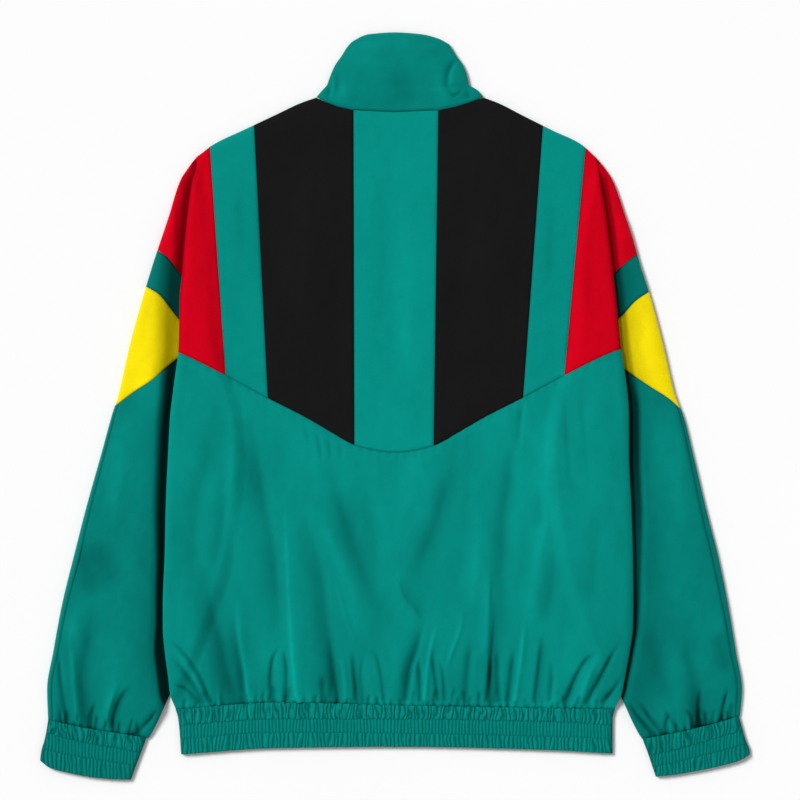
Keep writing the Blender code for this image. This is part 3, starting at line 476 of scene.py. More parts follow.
class Wire:
    # a socket of a node tree, with maths on it
    def __init__(self, board, socket):
        self.board, self.socket = board, socket

    def __add__(self, other):
        return self.board.maths("ADD", self, other)

    def __sub__(self, other):
        return self.board.maths("SUBTRACT", self, other)

    def __rsub__(self, other):
        return self.board.maths("SUBTRACT", other, self)

    def __mul__(self, other):
        return self.board.maths("MULTIPLY", self, other)

    def __truediv__(self, other):
        return self.board.maths("DIVIDE", self, other)

    def __pow__(self, other):
        return self.board.maths("POWER", self, other)

    __radd__, __rmul__ = __add__, __mul__


class Board:
    # a node tree that nodes are laid out on
    def __init__(self, tree):
        self.tree = tree

    def socket(self, sockets, name):
        return next(item for item in sockets if item.name == name and item.enabled)

    def add(self, kind, settings=None, sockets=None):
        node = self.tree.nodes.new(kind)
        for name, value in (settings or {}).items():
            setattr(node, name, value)
        for name, value in (sockets or {}).items():
            self.plug(self.socket(node.inputs, name), value)
        return node

    def plug(self, socket, value):
        if isinstance(value, Wire):
            self.tree.links.new(value.socket, socket)
        else:
            socket.default_value = value

    def get(self, kind, output, settings=None, sockets=None):
        node = self.add(kind, settings, sockets)
        return Wire(self, self.socket(node.outputs, output))

    def maths(self, operation, *values):
        node = self.tree.nodes.new("ShaderNodeMath")
        node.operation = operation
        for socket, value in zip(node.inputs, values):
            self.plug(socket, value)
        return Wire(self, node.outputs[0])

    def colour(self, factor, first, second):
        return self.get("ShaderNodeMix", "Result", {"data_type": "RGBA", "blend_type": "MIX"},
                        {"Factor": factor, "A": first, "B": second})

    def noise(self, vector, scale, detail, **more):
        return self.get("ShaderNodeTexNoise", "Fac", None, {
            "Vector": vector, "Scale": float(scale), "Detail": float(detail), **more})

    def vector(self, **parts):
        return self.get("ShaderNodeCombineXYZ", "Vector", None, parts)

    def bump(self, strength, distance, height):
        return self.get("ShaderNodeBump", "Normal", None, {
            "Strength": strength, "Distance": distance, "Height": height})


def newMaterial(name, **fixed):
    # the fixed values are constants on the shader's own sockets
    made = bpy.data.materials.new(name)
    made.use_nodes = True
    surface = made.node_tree.nodes["Principled BSDF"]
    for socket, value in fixed.items():
        surface.inputs[socket.replace("_", " ")].default_value = value
    return made, Board(made.node_tree), surface


def scaledColour(colour, share):
    # a colour made lighter or darker, with its alpha: on the cloth the dark and light ends of its painted shade, on
    # thread and plastic random tone
    return tuple(min(part * share, 1.0) for part in colour) + (1.0,)


clothFinishes = {
    "green": {"colour": (0.0016, 0.262, 0.222), "tint": (0.01, 0.75, 0.65), "specular": 0.30},
    "black": {"colour": (0.0045, 0.0045, 0.0045), "tint": (1.0, 1.0, 1.0), "specular": 0.07},
    "red": {"colour": (0.60, 0.0004, 0.0100), "tint": (1.0, 0.03, 0.06), "specular": 0.18},
    "yellow": {"colour": (0.80, 0.645, 0.0036), "tint": (1.0, 0.85, 0.02), "specular": 0.18}}
weave = {
    "thread": 0.00042,      # pitch of the threads
    "fleckScale": 900, "crinkleScale": 75, "drapeScale": 9, "bump": 0.55, "relief": 0.0007,
    # deepest: the colour's share where the painted shade is darkest
    "sheen": 0.08, "deepest": 0.02}


def dress(board, surface, colour, roughness, bump):
    for name, value in {"Base Color": colour, "Roughness": roughness, "Normal": bump}.items():
        board.plug(surface.inputs[name], value)


def clothMaterial(name, colour, tint, specular):
    # woven polyester: threads, flecks of uneven yarn, paper-like crinkles and slow changes of colour, laid over
    # painted shade and light from the shade attribute
    tint = (*tint, 1.0)
    made, board, surface = newMaterial(
        name, Specular_IOR_Level=specular, Specular_Tint=tint,
        Sheen_Weight=weave["sheen"], Sheen_Roughness=0.45, Sheen_Tint=tint)
    uv = board.get("ShaderNodeUVMap", "UV", {"uv_map": "cloth"})
    split = board.add("ShaderNodeSeparateXYZ", None, {"Vector": uv})
    warp, weft = (board.maths("SINE", Wire(board, split.outputs[axis]) * (2 * math.pi / weave["thread"]))
                  for axis in "XY")
    fleck = board.noise(uv, weave["fleckScale"], 2, Roughness=0.6)
    crinkle = board.noise(uv, weave["crinkleScale"], 5, Roughness=0.62)
    drape = board.noise(uv, weave["drapeScale"], 3, Roughness=0.55)
    shade = board.get("ShaderNodeAttribute", "Fac", {"attribute_name": "shade"})
    variation = (fleck - 0.5) * 0.34 + (crinkle - 0.5) * 0.16 + (drape - 0.5) * 0.22
    tone = board.maths("MINIMUM", board.maths("MAXIMUM", shade * (1 + variation), 0.0), 1.0)
    dress(board, surface, board.colour(tone, scaledColour(colour, weave["deepest"]), scaledColour(colour, 1 / cloth["neutral"])),
          0.50 + 0.22 * drape + (fleck - 0.5) * 0.12,
          board.bump(weave["bump"], weave["relief"], crinkle * 0.9 + fleck * 0.28 + warp * weft * 0.12))
    return made


def threadMaterial(name, colour):
    # twisted sewing thread
    made, board, surface = newMaterial(name, Specular_IOR_Level=0.25, Specular_Tint=(0.05, 0.8, 0.7, 1.0))
    twist = board.noise(board.get("ShaderNodeTexCoord", "Object"), 2600, 2)
    dress(board, surface, board.colour(twist, scaledColour(colour, 0.6), scaledColour(colour, 1.25)),
          0.55 + 0.2 * twist, board.bump(0.6, 0.0001, twist))
    return made


def plasticMaterial(name, colour, roughness):
    # moulded satin plastic with a fine grain
    made, board, surface = newMaterial(name)
    where = board.get("ShaderNodeTexCoord", "Object")
    grain, cloud = board.noise(where, 1500, 3), board.noise(where, 60, 2)
    dress(board, surface, board.colour(cloud, scaledColour(colour, 0.8), scaledColour(colour, 1.2)),
          roughness - 0.06 + 0.14 * grain, board.bump(0.35, 0.0001, grain))
    return made


finishes = {name: clothMaterial(name + "Polyester", **parts) for name, parts in clothFinishes.items()}
threadFinish = threadMaterial("greenThread", (0.003, 0.24, 0.205))
# a darker copy of the green thread: painted shade on the thread sunk between the ribs
shadedThread = threadMaterial("deepGreenThread", (0.0015, 0.085, 0.070))   # sunk between the ribs
zipFinish = plasticMaterial("zipPlastic", (0.002, 0.13, 0.11), 0.42)
print("materials made")


def linked(name, mesh):
    made = bpy.data.objects.new(name, mesh)
    bpy.context.scene.collection.objects.link(made)
    return made


def gridMesh(name, place, height, level, tone, material, uv=None, extra=None):
    rowCount, columnCount = place.shape
    points = np.stack([place, height, level], axis=-1).reshape(-1, 3) * mm
    at = np.arange(rowCount * columnCount).reshape(rowCount, columnCount)
    faces = np.stack([at[:-1, :-1], at[:-1, 1:], at[1:, 1:], at[1:, :-1]], axis=-1).reshape(-1, 4)
    mesh = bpy.data.meshes.new(name)
    mesh.from_pydata(points, [], faces.tolist())
    mesh.shade_smooth()
    flat = np.stack([place, height], axis=-1) if uv is None else np.stack(uv, axis=-1)
    layer = mesh.uv_layers.new(name="cloth")
    layer.data.foreach_set("uv", (flat.reshape(-1, 2)[faces.reshape(-1)] * mm).ravel().astype(np.float32))
    for word, values in {"shade": tone, **(extra or {})}.items():
        values = np.broadcast_to(values, place.shape).astype(np.float32).ravel()
        mesh.attributes.new(word, "FLOAT", "POINT").data.foreach_set("value", values)
    mesh.materials.append(material)
    return linked(name, mesh), points.reshape(rowCount, columnCount, 3)


def cutSize(points):
    # longest row, longest column and area of a panel, in metres
    rows = np.linalg.norm(np.diff(points, axis=1), axis=2).sum(1)
    columns = np.linalg.norm(np.diff(points, axis=0), axis=2).sum(0)
    one, two = points[1:, 1:] - points[:-1, :-1], points[1:, :-1] - points[:-1, 1:]
    return rows.max(), columns.max(), np.linalg.norm(np.cross(one, two), axis=2).sum() / 2


cutList = {}


def finishPanel(piece, node, size):
    thickness = piece.modifiers.new("cloth", "SOLIDIFY")
    thickness.thickness = cloth["thickness"] * mm
    thickness.offset = 0.0
    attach(piece, "root")
    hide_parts(node)
    width, length, area = (float(part) for part in size)
    area = min(area, width * length)
    cutList[piece.name] = (width, length, area)


def panel(name, node, colour, place, height, level, tone, uv=None):
    piece, points = gridMesh(name, place, height, level, tone, finishes[colour], uv)
    finishPanel(piece, node, cutSize(points))
    return piece


# Yoke: the centre stripe, two broad black ones and two narrow ones

yoke = {
    "strokes": (
        (0.9, 14, (-99, 271), (-95, 155), (-94, 36)), (0.9, 17, (94, 271), (96, 155), (98, 36)),
        (-0.7, 12, (-141, 250), (-135, 112)), (-0.7, 12, (143, 250), (137, 112)),
        (-0.8, 9, (-20, 280), (-12, 180), (-16, 60)), (0.7, 12, (18, 240), (14, 100), (20, -10)),
        (-0.7, 6, (-166, 240), (-160, 150)), (-0.7, 6, (170, 230), (162, 120)),
        (-0.6, 8, (-60, 180), (-64, 60), (-58, 0)), (-0.6, 8, (66, 150), (60, 40))),
    "rippleSize": 0.22, "sideTone": 0.94, "spacing": 3.0, "middle": 120.0}


def topEdge(place):
    # the neck seam, then the shoulder's outline
    width = np.abs(place)
    neck = np.where(place > 0, outlineTable["right"][0], outlineTable["left"][0])
    inset = 0.1 + 0.6 * ease((width - neck + 14) / 10)
    return np.where(width < neck, onSide(collarSeam, place, width), onSide(shoulderHeight, place, width)) - inset


def yokeSurface(place, height):
    rise, tone = creases(yoke["strokes"], place, height)
    inside = ease((topEdge(place) - height) / 25) * ease((height - yokeSeam(np.abs(place))) / 20)
    soft = ripple(place, height, 11, 120, yoke["rippleSize"])
    # painted shade and light along the folds and ripples
    return backLevel(place, height) + (rise + soft) * inside, cloth["neutral"] + (tone + soft * 0.03) * inside


def yokePanel(name, node, colour, first, last):
    spacing, width = yoke["spacing"], float(last(yoke["middle"]) - first(yoke["middle"]))
    place, height = net(
        lambda share, key: mix(first(key) + gap, last(key) - gap, share),
        lambda share, key: mix(yokeSeam(np.abs(key)) + gap, topEdge(key), share),
        stations(width, spacing, nearSeam, nearSeam), stations(330, spacing, nearSeam, nearFold))
    level, tone = yokeSurface(place, height)
    if "Side" in name:
        tone = tone * yoke["sideTone"]
    level, tone = settle(place, height, level, tone, "first last foot")
    panel(name, node, colour, place, height, level, tone)


def stripeLine(name, side):
    return lambda key: side * stripeSeam[name][side](key)


stripeParts = ("Black", "black", ("inner", "middle")), ("Side", "green", ("middle", "outer"))
yokePanel("yokeCentreStripe", "back_stripe_centre", "green",
          stripeLine("inner", left), stripeLine("inner", right))
for side, word in sides.items():
    for name, colour, seams in stripeParts:
        first, last = [stripeLine(seam, side) for seam in seams][::side]       # from left to right
        yokePanel(f"yoke{name}Stripe{word.title()}", f"back_stripe_{name.lower()}_{word}", colour, first, last)
print("yoke made")


# Shoulder panels: one piece of cloth each, over the body, round its fold and out along the sleeve

shoulder = {
    "roll": 7.0, "rippleSize": 0.22, "rimTone": 0.72, "underTone": 0.3,
    "seamTop": 274.8, "foldTop": 264.0, "turnHeights": (257.0, 113.0), "endTop": 246.0, "endWidth": 208.0,
    "underSteps": (0.12, 0.35, 0.6, 0.85), "underDrop": (0.10, 0.16, 0.24, 0.34),
    "strokes": (
        (-1.4, 3.2, (-231, 223), (-231, 192), (-230, 159)), (-1.0, 3, (-220, 227), (-222, 204)),
        (-1.4, 3.2, (223, 233), (224, 207)), (-1.6, 3.2, (229, 209), (232, 176), (235, 143)),
        (0.9, 7, (-238, 205), (-243, 170)), (0.9, 7, (242, 205), (248, 170)),
        (-0.8, 7, (-205, 230), (-203, 150), (-206, 90)), (-0.8, 7, (208, 220), (206, 140), (210, 80)))}


def meet(column, row):
    height = row(column(0.0))
    for _ in range(16):
        place = column(height)
        height = height + 0.8 * (row(place) - height)
    return float(place), float(height)


def shoulderPanel(side, word):
    # rows run out from the yoke's seam (seam), to the fold over the body's edge (fold), under it to
    # the sleeve's hidden edge (turn), and out over the sleeve (end)
    inset, band = cloth["edgeInset"], bandSeam["redGreen"][side]
    seamLine, edge = stripeSeam["outer"][side], bodyEdge[side]
    share = stations(210, 2.8, (0.6, 1.3, 2.2, 3.4, 5.0), nearSeam)
    foot, corner = (meet(line, lambda key: yokeSeam(key) + gap) for line in (seamLine, edge))
    seamY, foldY = mix(shoulder["seamTop"], foot[1], share), mix(shoulder["foldTop"], corner[1], share)
    turnY = mix(*shoulder["turnHeights"], share)
    seamX, foldX, turnX = seamLine(seamY) + gap, edge(foldY) - inset, tuck(turnY)
    bandWidth, bandHeight = (bandTables["redGreen"][word + part][-1] for part in ("Width", "Height"))
    endX = mix(bandWidth - inset, shoulder["endWidth"], np.clip(share * 2 - 1, 0, 1))
    endY = np.where(share < 0.5, mix(shoulder["endTop"], bandHeight, share * 2), band(endX))
    endX = np.where(share < 0.5, outline[side](endY) - inset, endX)
    endY = endY + 2 * gap
    start = np.clip(1 - share / 0.012, 0, 1)                       # the first row runs along the outline
    seamY = mix(seamY, shoulderHeight[side](seamX) - 0.7, start)
    foldX, turnX, endX = (mix(x, outline[side](y) - inset, start)
                          for x, y in ((foldX, foldY), (turnX, turnY), (endX, endY)))

    def run(fromX, fromY, toX, toY, steps):
        steps = np.asarray(steps)[None, :]
        return [a[:, None] + (b - a)[:, None] * steps for a, b in ((fromX, toX), (fromY, toY))]

    overX, overY = run(seamX, seamY, foldX, foldY, stations(36, 2.6, nearSeam, nearFold))
    chord = mix(foot[1], corner[1], (overX - foot[0]) / (corner[0] - foot[0]))
    overY = overY + (yokeSeam(overX) + gap - chord) * share[:, None]
    underX, underY = run(foldX, foldY, turnX, turnY, shoulder["underSteps"])
    outX, outY = run(turnX, turnY, endX, endY, stations(60, 2.2, (0.5, 1.5, 3.0), nearFold))
    signedOver, signedOut = side * overX, side * outX
    top, low = bodyTop(signedOver, overY), sleeveTop(side, outX, outY)
    drop = (top[:, -1] - low[:, 0])[:, None]
    toFold = np.hypot(overX - foldX[:, None], overY - foldY[:, None])
    overZ = tubeHalf(top, lay["floor"], lay["bodyRim"], edgeDistance(outline, signedOver, overY))
    overZ = overZ - 0.42 * drop * (1 - roundOver(toFold, shoulder["roll"]))
    underZ = overZ[:, -1:] - drop * np.array([shoulder["underDrop"]])
    outZ = tubeHalf(low, lay["floor"], lay["sleeveRim"] / 2, edgeDistance(outline, signedOut, outY))
    rise, tone = creases(shoulder["strokes"], signedOut, outY)
    body, bodyTone = creases(shoulder["strokes"], signedOver, overY)
    calm = ease((overX - seamX[:, None]) / 10) * ease(toFold / 10) * ease((262 - overY) / 20)
    outside = ease((outX - edge(outY) - 2) / 8) * ease((240 - outY) / 30)
    softOver, softOut = (ripple(x, y, 23 + side, 90, shoulder["rippleSize"])
                         for x, y in ((overX, overY), (outX, outY)))
    # painted shade: darker round the fold over the body's edge (rimTone) and in the hidden cloth under it
    # (underTone), with the slot's painted shadow, and painted shade and light along the folds and ripples
    neutral = cloth["neutral"]
    outTone = neutral * gapShade(side, outX, outY) + (tone + softOut * 0.03) * outside
    rimTone = mix(1, mix(shoulder["rimTone"], 1, ease(toFold / 4)), ease(drop / 3))
    place = side * np.concatenate([overX, underX, outX], axis=1)
    height = np.concatenate([overY, underY, outY], axis=1)
    overTone, underTone = (neutral + bodyTone * calm) * rimTone, shoulder["underTone"] + 0 * underZ
    level = np.concatenate([overZ + (body + softOver) * calm, underZ, outZ + (rise + softOut) * outside], axis=1)
    shade = np.concatenate([overTone, underTone, outTone], axis=1)
    along = np.cumsum(np.hypot(np.diff(place, axis=1, prepend=place[:, :1]),
                               np.diff(height, axis=1, prepend=height[:, :1])), axis=1)
    fromSeam = (np.abs(place) - seamX[:, None]) / cloth["seamWidth"]
    besideSeam = (np.abs(place) < foldX[:, None]) & (along < 40)
    dip = np.exp(-(np.abs(height - height[-1:]) / cloth["seamWidth"])**2)
    dip = np.maximum(dip, np.exp(-fromSeam**2) * besideSeam)
    dip[:, overX.shape[1]:overX.shape[1] + 6] = 0                  # none in the hidden fold
    panel("shoulder" + word.title(), "shoulder_red_" + word, "red", place, height,
          level - cloth["seamDip"] * dip, shade - cloth["seamShade"] * dip,
          uv=(along, height))


for side, word in sides.items():
    shoulderPanel(side, word)
print("shoulders made")


# Lower back: one broad panel under the V seam, gathered into the hem

lowerBack = {
    "rippleSize": 0.42, "blouse": 1.3, "foldScale": 1.2, "pleatPitch": 8.0,
    "finePitch": 4.2, "fineSize": 0.5, "fineReach": 4.5, "pucker": 0.34,
    "topstitch": 4.2,       # how far under the V seam it runs
    "strokes": (
        (-1.3, (12, 10), (-188, 0), (-200, -60), (-208, -95), (-214, -140), (-210, -180), (-200, -212)),
        (-1.1, 8, (-181, -50), (-181, -110), (-188, -156), (-195, -188)),
        (-2.0, (13, 8), (-200, -168), (-196, -212), (-187, -243), (-179, -281), (-172, -312)),
        (-1.6, (8, 2.0), (-172, -222), (-166, -262), (-162, -285), (-159, -312)),
        (1.1, (2.0, 7), (-169, -200), (-165, -240), (-160, -275), (-156, -312)),
        (1.3, 10, (-169, 14), (-168, -60), (-169, -140), (-168, -205)),
        (-2.3, (16, 6), (-157, 6), (-148, -50), (-136, -118), (-130, -150), (-126, -196), (-122, -237),
         (-118, -266)),
        (1.4, (2.2, 9), (-118, -95), (-115, -143), (-112, -212), (-109, -259), (-105, -312)),
        (-1.5, (2.2, 3.6), (-120, -252), (-130, -270), (-132, -290), (-131, -312)),
        (-1.5, (3.2, 1.8), (-118, -254), (-114, -285), (-114, -312)),
        (-1.7, (14, 6), (-101, -90), (-94, -125), (-85, -156), (-77, -193), (-73, -228), (-69, -259),
         (-65, -290), (-62, -312)),
        (-1.0, (5, 1.6), (-69, -245), (-64, -285), (-61, -312)),
        (1.0, (2, 5), (-60, -262), (-54, -285), (-53, -312)),
        (-1.7, (1.8, 5), (-46, -258), (-43, -287), (-41, -312)),
        (-1.0, (2, 4), (-27, -254), (-19, -268), (-14, -290), (-12, -312)),
        (-0.8, 2.6, (-33, -262), (-36, -285), (-34, -312)),
        (-1.1, (4, 3), (-77, -284), (-75, -312)),
        (-1.8, (9, 10), (-80, -36), (-66, -75), (-59, -103), (-48, -134), (-37, -165), (-26, -193),
         (-15, -221), (-4, -250)),
        (1.2, (9, 8), (-94, -92), (-69, -140), (-51, -181), (-41, -212), (-36, -254)),
        (0.6, 1.6, (-64, -180), (-52, -225), (-41, -256)),
        (-0.9, 9, (-29, -85), (-22, -150), (-17, -208)),
        (-0.9, (2, 2.6), (-85, -24), (-80, -42), (-77, -62)),
        (-0.9, (2, 2.6), (-73, -30), (-69, -44), (-67, -60)),
        (-0.7, 2, (-97, -18), (-93, -30), (-90, -44)), (-0.6, 2, (-60, -35), (-57, -46), (-56, -58)),
        (-1.7, (3.2, 1.8), (-242, -246), (-229, -256), (-216, -271), (-205, -290), (-196, -313)),
        (-1.4, (3.2, 1.8), (-241, -262), (-226, -278), (-212, -297), (-203, -314)),
        (-1.5, (2.6, 1.8), (-237, -294), (-222, -300), (-208, -314)),
        (1.0, 4, (-236, -256), (-219, -276), (-205, -302)),
        (-1.9, (10, 11), (63, -42), (59, -72), (51, -103), (41, -134), (34, -150), (22, -172), (8, -192)),
        (-1.8, (1.6, 9), (4, -180), (8, -195), (14, -206), (24, -218), (34, -233)),
        (-2.2, (7, 2.6), (33, -222), (27, -245), (22, -262), (16, -280), (12, -312)),
        (-1.5, (3.4, 1.8), (25, -262), (27, -290), (28, -312)),
        (1.2, (1.8, 4), (45, -225), (40, -248), (37, -262), (34, -280), (31, -312)),
        (-1.4, (1.8, 4), (38, -254), (41, -276), (46, -312)),
        (-1.1, (1.8, 3), (45, -268), (51, -285), (53, -312)),
        (0.9, (1.6, 2.4), (73, -212), (69, -236), (62, -256), (53, -282)),
        (-1.3, (5, 4), (81, -242), (78, -280), (75, -312)),
        (1.2, 10, (90, -60), (89, -130), (86, -190), (79, -236)),
        (-1.1, (6, 1.6), (137, 12), (134, -16), (131, -48)),
        (-1.9, (9, 8), (135, -8), (124, -56), (119, -95), (115, -130), (113, -181), (113, -215), (110, -250)),
        (-1.8, (1.8, 9), (107, -200), (104, -243), (101, -275), (99, -312)),
        (1.2, (8, 1.8), (101, -165), (99, -230), (95, -276)),
        (-1.7, (1.6, 3), (101, -258), (100, -285), (98, -312)),
        (-1.5, (3.4, 2.4), (109, -254), (109, -285), (110, -312)),
        (-1.6, (4, 3.4), (127, -254), (124, -285), (121, -312)),
        (1.2, (1.8, 4.5), (138, -218), (135, -254), (132, -280), (127, -312)),
        (-1.8, (2.6, 8), (158, -236), (154, -270), (149, -312)),
        (-1.1, 8, (172, -142), (166, -196), (158, -242)),
        (1.3, 9, (164, 16), (162, -60), (160, -120), (152, -170), (146, -220), (140, -266)),
        (-0.8, 6, (152, -82), (155, -110), (157, -138)),
        (-0.7, 4, (179, 26), (184, -50), (189, -110)), (-0.5, 4, (197, 26), (202, -40), (206, -90)),
        (-0.7, 10, (213, -120), (212, -170), (207, -220)),
        (-1.1, (4, 2.6), (166, -266), (167, -290), (165, -312)),
        (-1.8, (2.6, 3.6), (218, -260), (203, -270), (191, -290), (182, -313)),
        (-1.8, (2.6, 3.2), (240, -248), (228, -268), (218, -288), (204, -314)),
        (-1.6, (2.6, 2.4), (243, -284), (233, -300), (222, -314)),
        (1.0, 5, (224, -256), (209, -280), (197, -312)))}


hemPleats = pleats(hemLine["seam"], -226, 230, lowerBack["pleatPitch"], 7, 24, 1.6)


def lowerBackSurface(place, height):
    width = np.abs(place)
    above, below = height - hemLine["seam"](place), yokeSeam(width) - height
    inside = edgeDistance(bodyEdge, place, height)
    free, calm = ease(below / 16), ease(inside / 12)
    rise, tone = creases(lowerBack["strokes"], place, height)
    pleatRise, pleatTone = creases(hemPleats, place, height)
    deeper = mix(1.75, 1, ease((above - 10) / 90))                      # the folds are deepest over the hem
    rise = (rise * deeper + 1.1 * pleatRise) * lowerBack["foldScale"]
    tone = tone * deeper
    soft = ripple(place, height, 5, 150, lowerBack["rippleSize"], 0.7)
    blouse = lowerBack["blouse"] * ease(above / 22) * (1 - ease((above - 20) / 110)) * calm
    fine = gathers(place, above, 7, lowerBack["finePitch"], lowerBack["fineSize"], lowerBack["fineReach"])
    fine = fine * ease(inside / 7)
    pucker = lowerBack["pucker"] * np.cos(place / 1.7 + 2 * np.sin(place / 23)) * np.exp(-below / 5) * calm
    groove = np.exp(-((below - lowerBack["topstitch"]) / 1.1)**2) * calm      # where the topstitching pulls in
    level = backLevel(place, height) + (rise + soft) * free * calm + blouse + fine + pucker - 0.18 * groove
    # darker towards the bottom and near the body's edges; painted light just over the hem, against its slope's own
    # shade; painted shade and light along the folds, pleats, ripples and gathers; darker in the topstitch groove and
    # at the hem seam; a painted highlight along the body's edge
    base = cloth["neutral"] * mix(0.87, 0.95, ease((height + 300) / 240)) * mix(0.93, 1, ease(inside / 40))
    base = base * mix(1.12, 1, ease(above / 26))
    shade = base + (tone + 1.5 * pleatTone + soft * 0.06) * free * calm + 0.16 * fine - 0.05 * groove
    shade = shade + 0.10 * np.exp(-(inside / 1.6)**2) - 0.05 * np.exp(-above / 4)
    return np.maximum(level, 2.4), shade


place, height = net(
    lambda share, key: mix(rimPlace(bodyEdge, left, key), rimPlace(bodyEdge, right, key), share),
    lambda share, key: mix(hemLine["seam"](key) + gap, yokeSeam(np.abs(key)) - gap, share),
    stations(480, 1.4, nearFold, nearFold),
    np.concatenate([stations(66, 2.0, nearSeam)[:-1] * 0.2, 0.2 + stations(264, 3.9, (), nearSeam) * 0.8]))
level, shade = lowerBackSurface(place, height)
level, shade = settle(place, height, level, shade, "foot head")
panel("lowerBack", "lower_back", "green", place, height, level, shade)
print("lower back made")


# Sleeves: bands of colour, then the long lower part with its seam just inside the outer edge

sleeve = {
    "rippleSize": 0.32, "foldScale": 1.3, "pleatPitch": 7.5, "finePitch": 4.2, "fineSize": 0.4,
    "fineReach": 4.0, "tone": 0.80, "overTone": 0.70, "frontTone": 0.92,
    "strokes": (
        (-1.7, 12, (-336, -140), (-327, -176), (-314, -210)),
        (-1.3, 13, (-322, -138), (-305, -170), (-288, -198)),
        (1.0, 10, (-341, -196), (-338, -225), (-340, -262)),
        (-1.6, (8, 9), (-316, -206), (-326, -256), (-332, -290), (-327, -335)),
        (1.2, (3, 5), (-345, -240), (-341, -280), (-337, -335)),
        (-1.4, (3, 2.4), (-358, -250), (-355, -285), (-348, -333)),
        (-1.9, (2.4, 6), (-276, -294), (-288, -306), (-296, -320), (-300, -340)),
        (1.0, (5, 2), (-290, -288), (-300, -310), (-307, -335)),
        (-1.6, (3, 2.4), (-250, -320), (-263, -337), (-277, -350)),
        (-1.4, (2.4, 3), (-316, -312), (-322, -326), (-325, -342)),
        (1.2, 11, (-286, 6), (-292, -78), (-298, -140)),
        (-1.5, 9, (305, -228), (311, -264), (318, -291), (322, -340)),
        (-1.7, (2, 3.4), (324, -296), (322, -318), (321, -342)),
        (-1.5, (1.8, 3), (306, -322), (312, -326), (316, -333), (316, -344)),
        (-1.7, (1.8, 3), (354, -298), (350, -312), (346, -336)),
        (-1.0, 9, (338, -238), (348, -262), (355, -290)),
        (-0.9, 12, (266, -226), (274, -260), (288, -300)),
        (-1.7, (2.6, 2), (244, -306), (254, -324), (268, -341), (276, -350)),
        (-1.5, (2.6, 2), (258, -312), (272, -332), (286, -349)),
        (-1.2, (2, 3), (284, -322), (294, -334), (303, -347)),
        (1.2, 11, (298, 6), (304, -78), (308, -150)))}


sleevePleats = {
    side: pleats(cuffLine[side]["seam"], 268, 360, sleeve["pleatPitch"], 43 + side, 26) for side in sides}


def sleeveSurface(side, width, height, bandTone=None):
    place = side * width
    shown, run = slotAt(side, width, height)
    outer = edgeDistance(outline, place, height)
    above = height - cuffLine[side]["seam"](width)
    calm = ease(shown / (run + 6)) * ease(outer / 10)
    rise, tone = creases(sleeve["strokes"], place, height)
    pleatRise, pleatTone = creases(sleevePleats[side], width, height)
    deeper = mix(1.5, 1, ease((above - 10) / 70))
    rise, tone = (rise * deeper + 1.1 * pleatRise) * sleeve["foldScale"], tone * deeper
    soft = ripple(place, height, 31 + side, 110, sleeve["rippleSize"], 0.8)
    fine = gathers(width, above, 41 + side, sleeve["finePitch"], sleeve["fineSize"], sleeve["fineReach"])
    fine = fine * ease(outer / 7) * ease((width - tuck(height)) / 8)
    across = np.clip(shown / (outline[side](height) - bodyEdge[side](height)), 0, 1)
    level = sleeveLevel(side, width, height) + (rise + soft) * calm + fine
    # painted shade: darker all over and towards the outer edge, where the sleeve rounds away, and, except on the
    # bands, on the inner side with the slot's painted shadow; on the bands their own painted trough and light;
    # painted shade and light along the folds, pleats, ripples and gathers; darker at the cuff seam
    shade = cloth["neutral"] * sleeve["tone"] * (1 - 0.12 * across**1.7)
    if bandTone is None:
        shade, slot = shade * mix(0.66, 1, ease(across / 0.5)), gapShade(side, width, height)
    else:
        slot = bandTone(width - bodyEdge[side](height))
    shade = shade + (tone + 1.5 * pleatTone + soft * 0.06) * calm + 0.14 * fine
    shade = shade - 0.05 * np.exp(-np.maximum(above, 0) / 4)
    return np.maximum(level, lay["floor"] + 0.9), shade * slot


bandParts = (
    ("sleeveGreenBand", "sleeve_band_green", "green", "redGreen", "greenYellow", 201.3),
    ("sleeveYellowBand", "sleeve_band_yellow", "yellow", "greenYellow", "yellowGreen", 200.9))
# painted shade and light across each band: a painted trough of shade beside the body's edge, and painted light on
# the outer part
bandTones = {            # a soft trough beside the body's edge, and the outer part in the light: away and tone
    "green": {
        left: smoothLine([1, 4.5, 8, 11, 14, 20, 28, 36], [0.24, 0.34, 0.17, 0.11, 0.16, 0.37, 0.74, 0.88]),
        right: smoothLine([1, 4.5, 7.5, 11, 16, 24, 33], [0.22, 0.08, 0.16, 0.43, 0.66, 0.83, 0.92])},
    "yellow": {
        left: smoothLine([1, 4.5, 8, 12, 16, 22, 28, 34], [0.80, 1.16, 0.84, 0.54, 0.66, 1.03, 1.42, 1.57]),
        right: smoothLine([1.5, 4.5, 7.5, 11, 17, 24, 32], [1.05, 0.39, 0.43, 0.93, 1.26, 1.50, 1.66])}}

for side, word in sides.items():
    for name, node, colour, upper, lower, innerWidth in bandParts:
        for half, inset in (("back", gap), ("front", gap + 0.5)):
            place, height = net(
                lambda share, key: mix(side * innerWidth, rimPlace(outline, side, key), share),
                lambda share, key: mix(bandSeam[lower][side](np.abs(key)) + inset,
                                       bandSeam[upper][side](np.abs(key)) - inset, share),
                stations(70, 2.0, (), nearFold), stations(60, 2.4, nearSeam, nearSeam))
            if half == "back":
                level, shade = sleeveSurface(side, np.abs(place), height, bandTones[colour][side])
                level, shade = settle(place, height, level, shade, "foot head")
            else:
                level = sleeveLevel(side, np.abs(place), height, "front")
                shade = cloth["neutral"] + 0 * level
                level = level + cloth["seamDip"] * seamDip(place, height, "foot head")
            panel(name + half.title() + word.title(), node + "_" + half + "_" + word, colour,
                  place, height, level, shade)


def sleeveHeights(side):
    return lambda share, key: mix(cuffLine[side]["seam"](np.abs(key)) + gap,
                                  bandSeam["yellowGreen"][side](np.abs(key)) - gap, share)


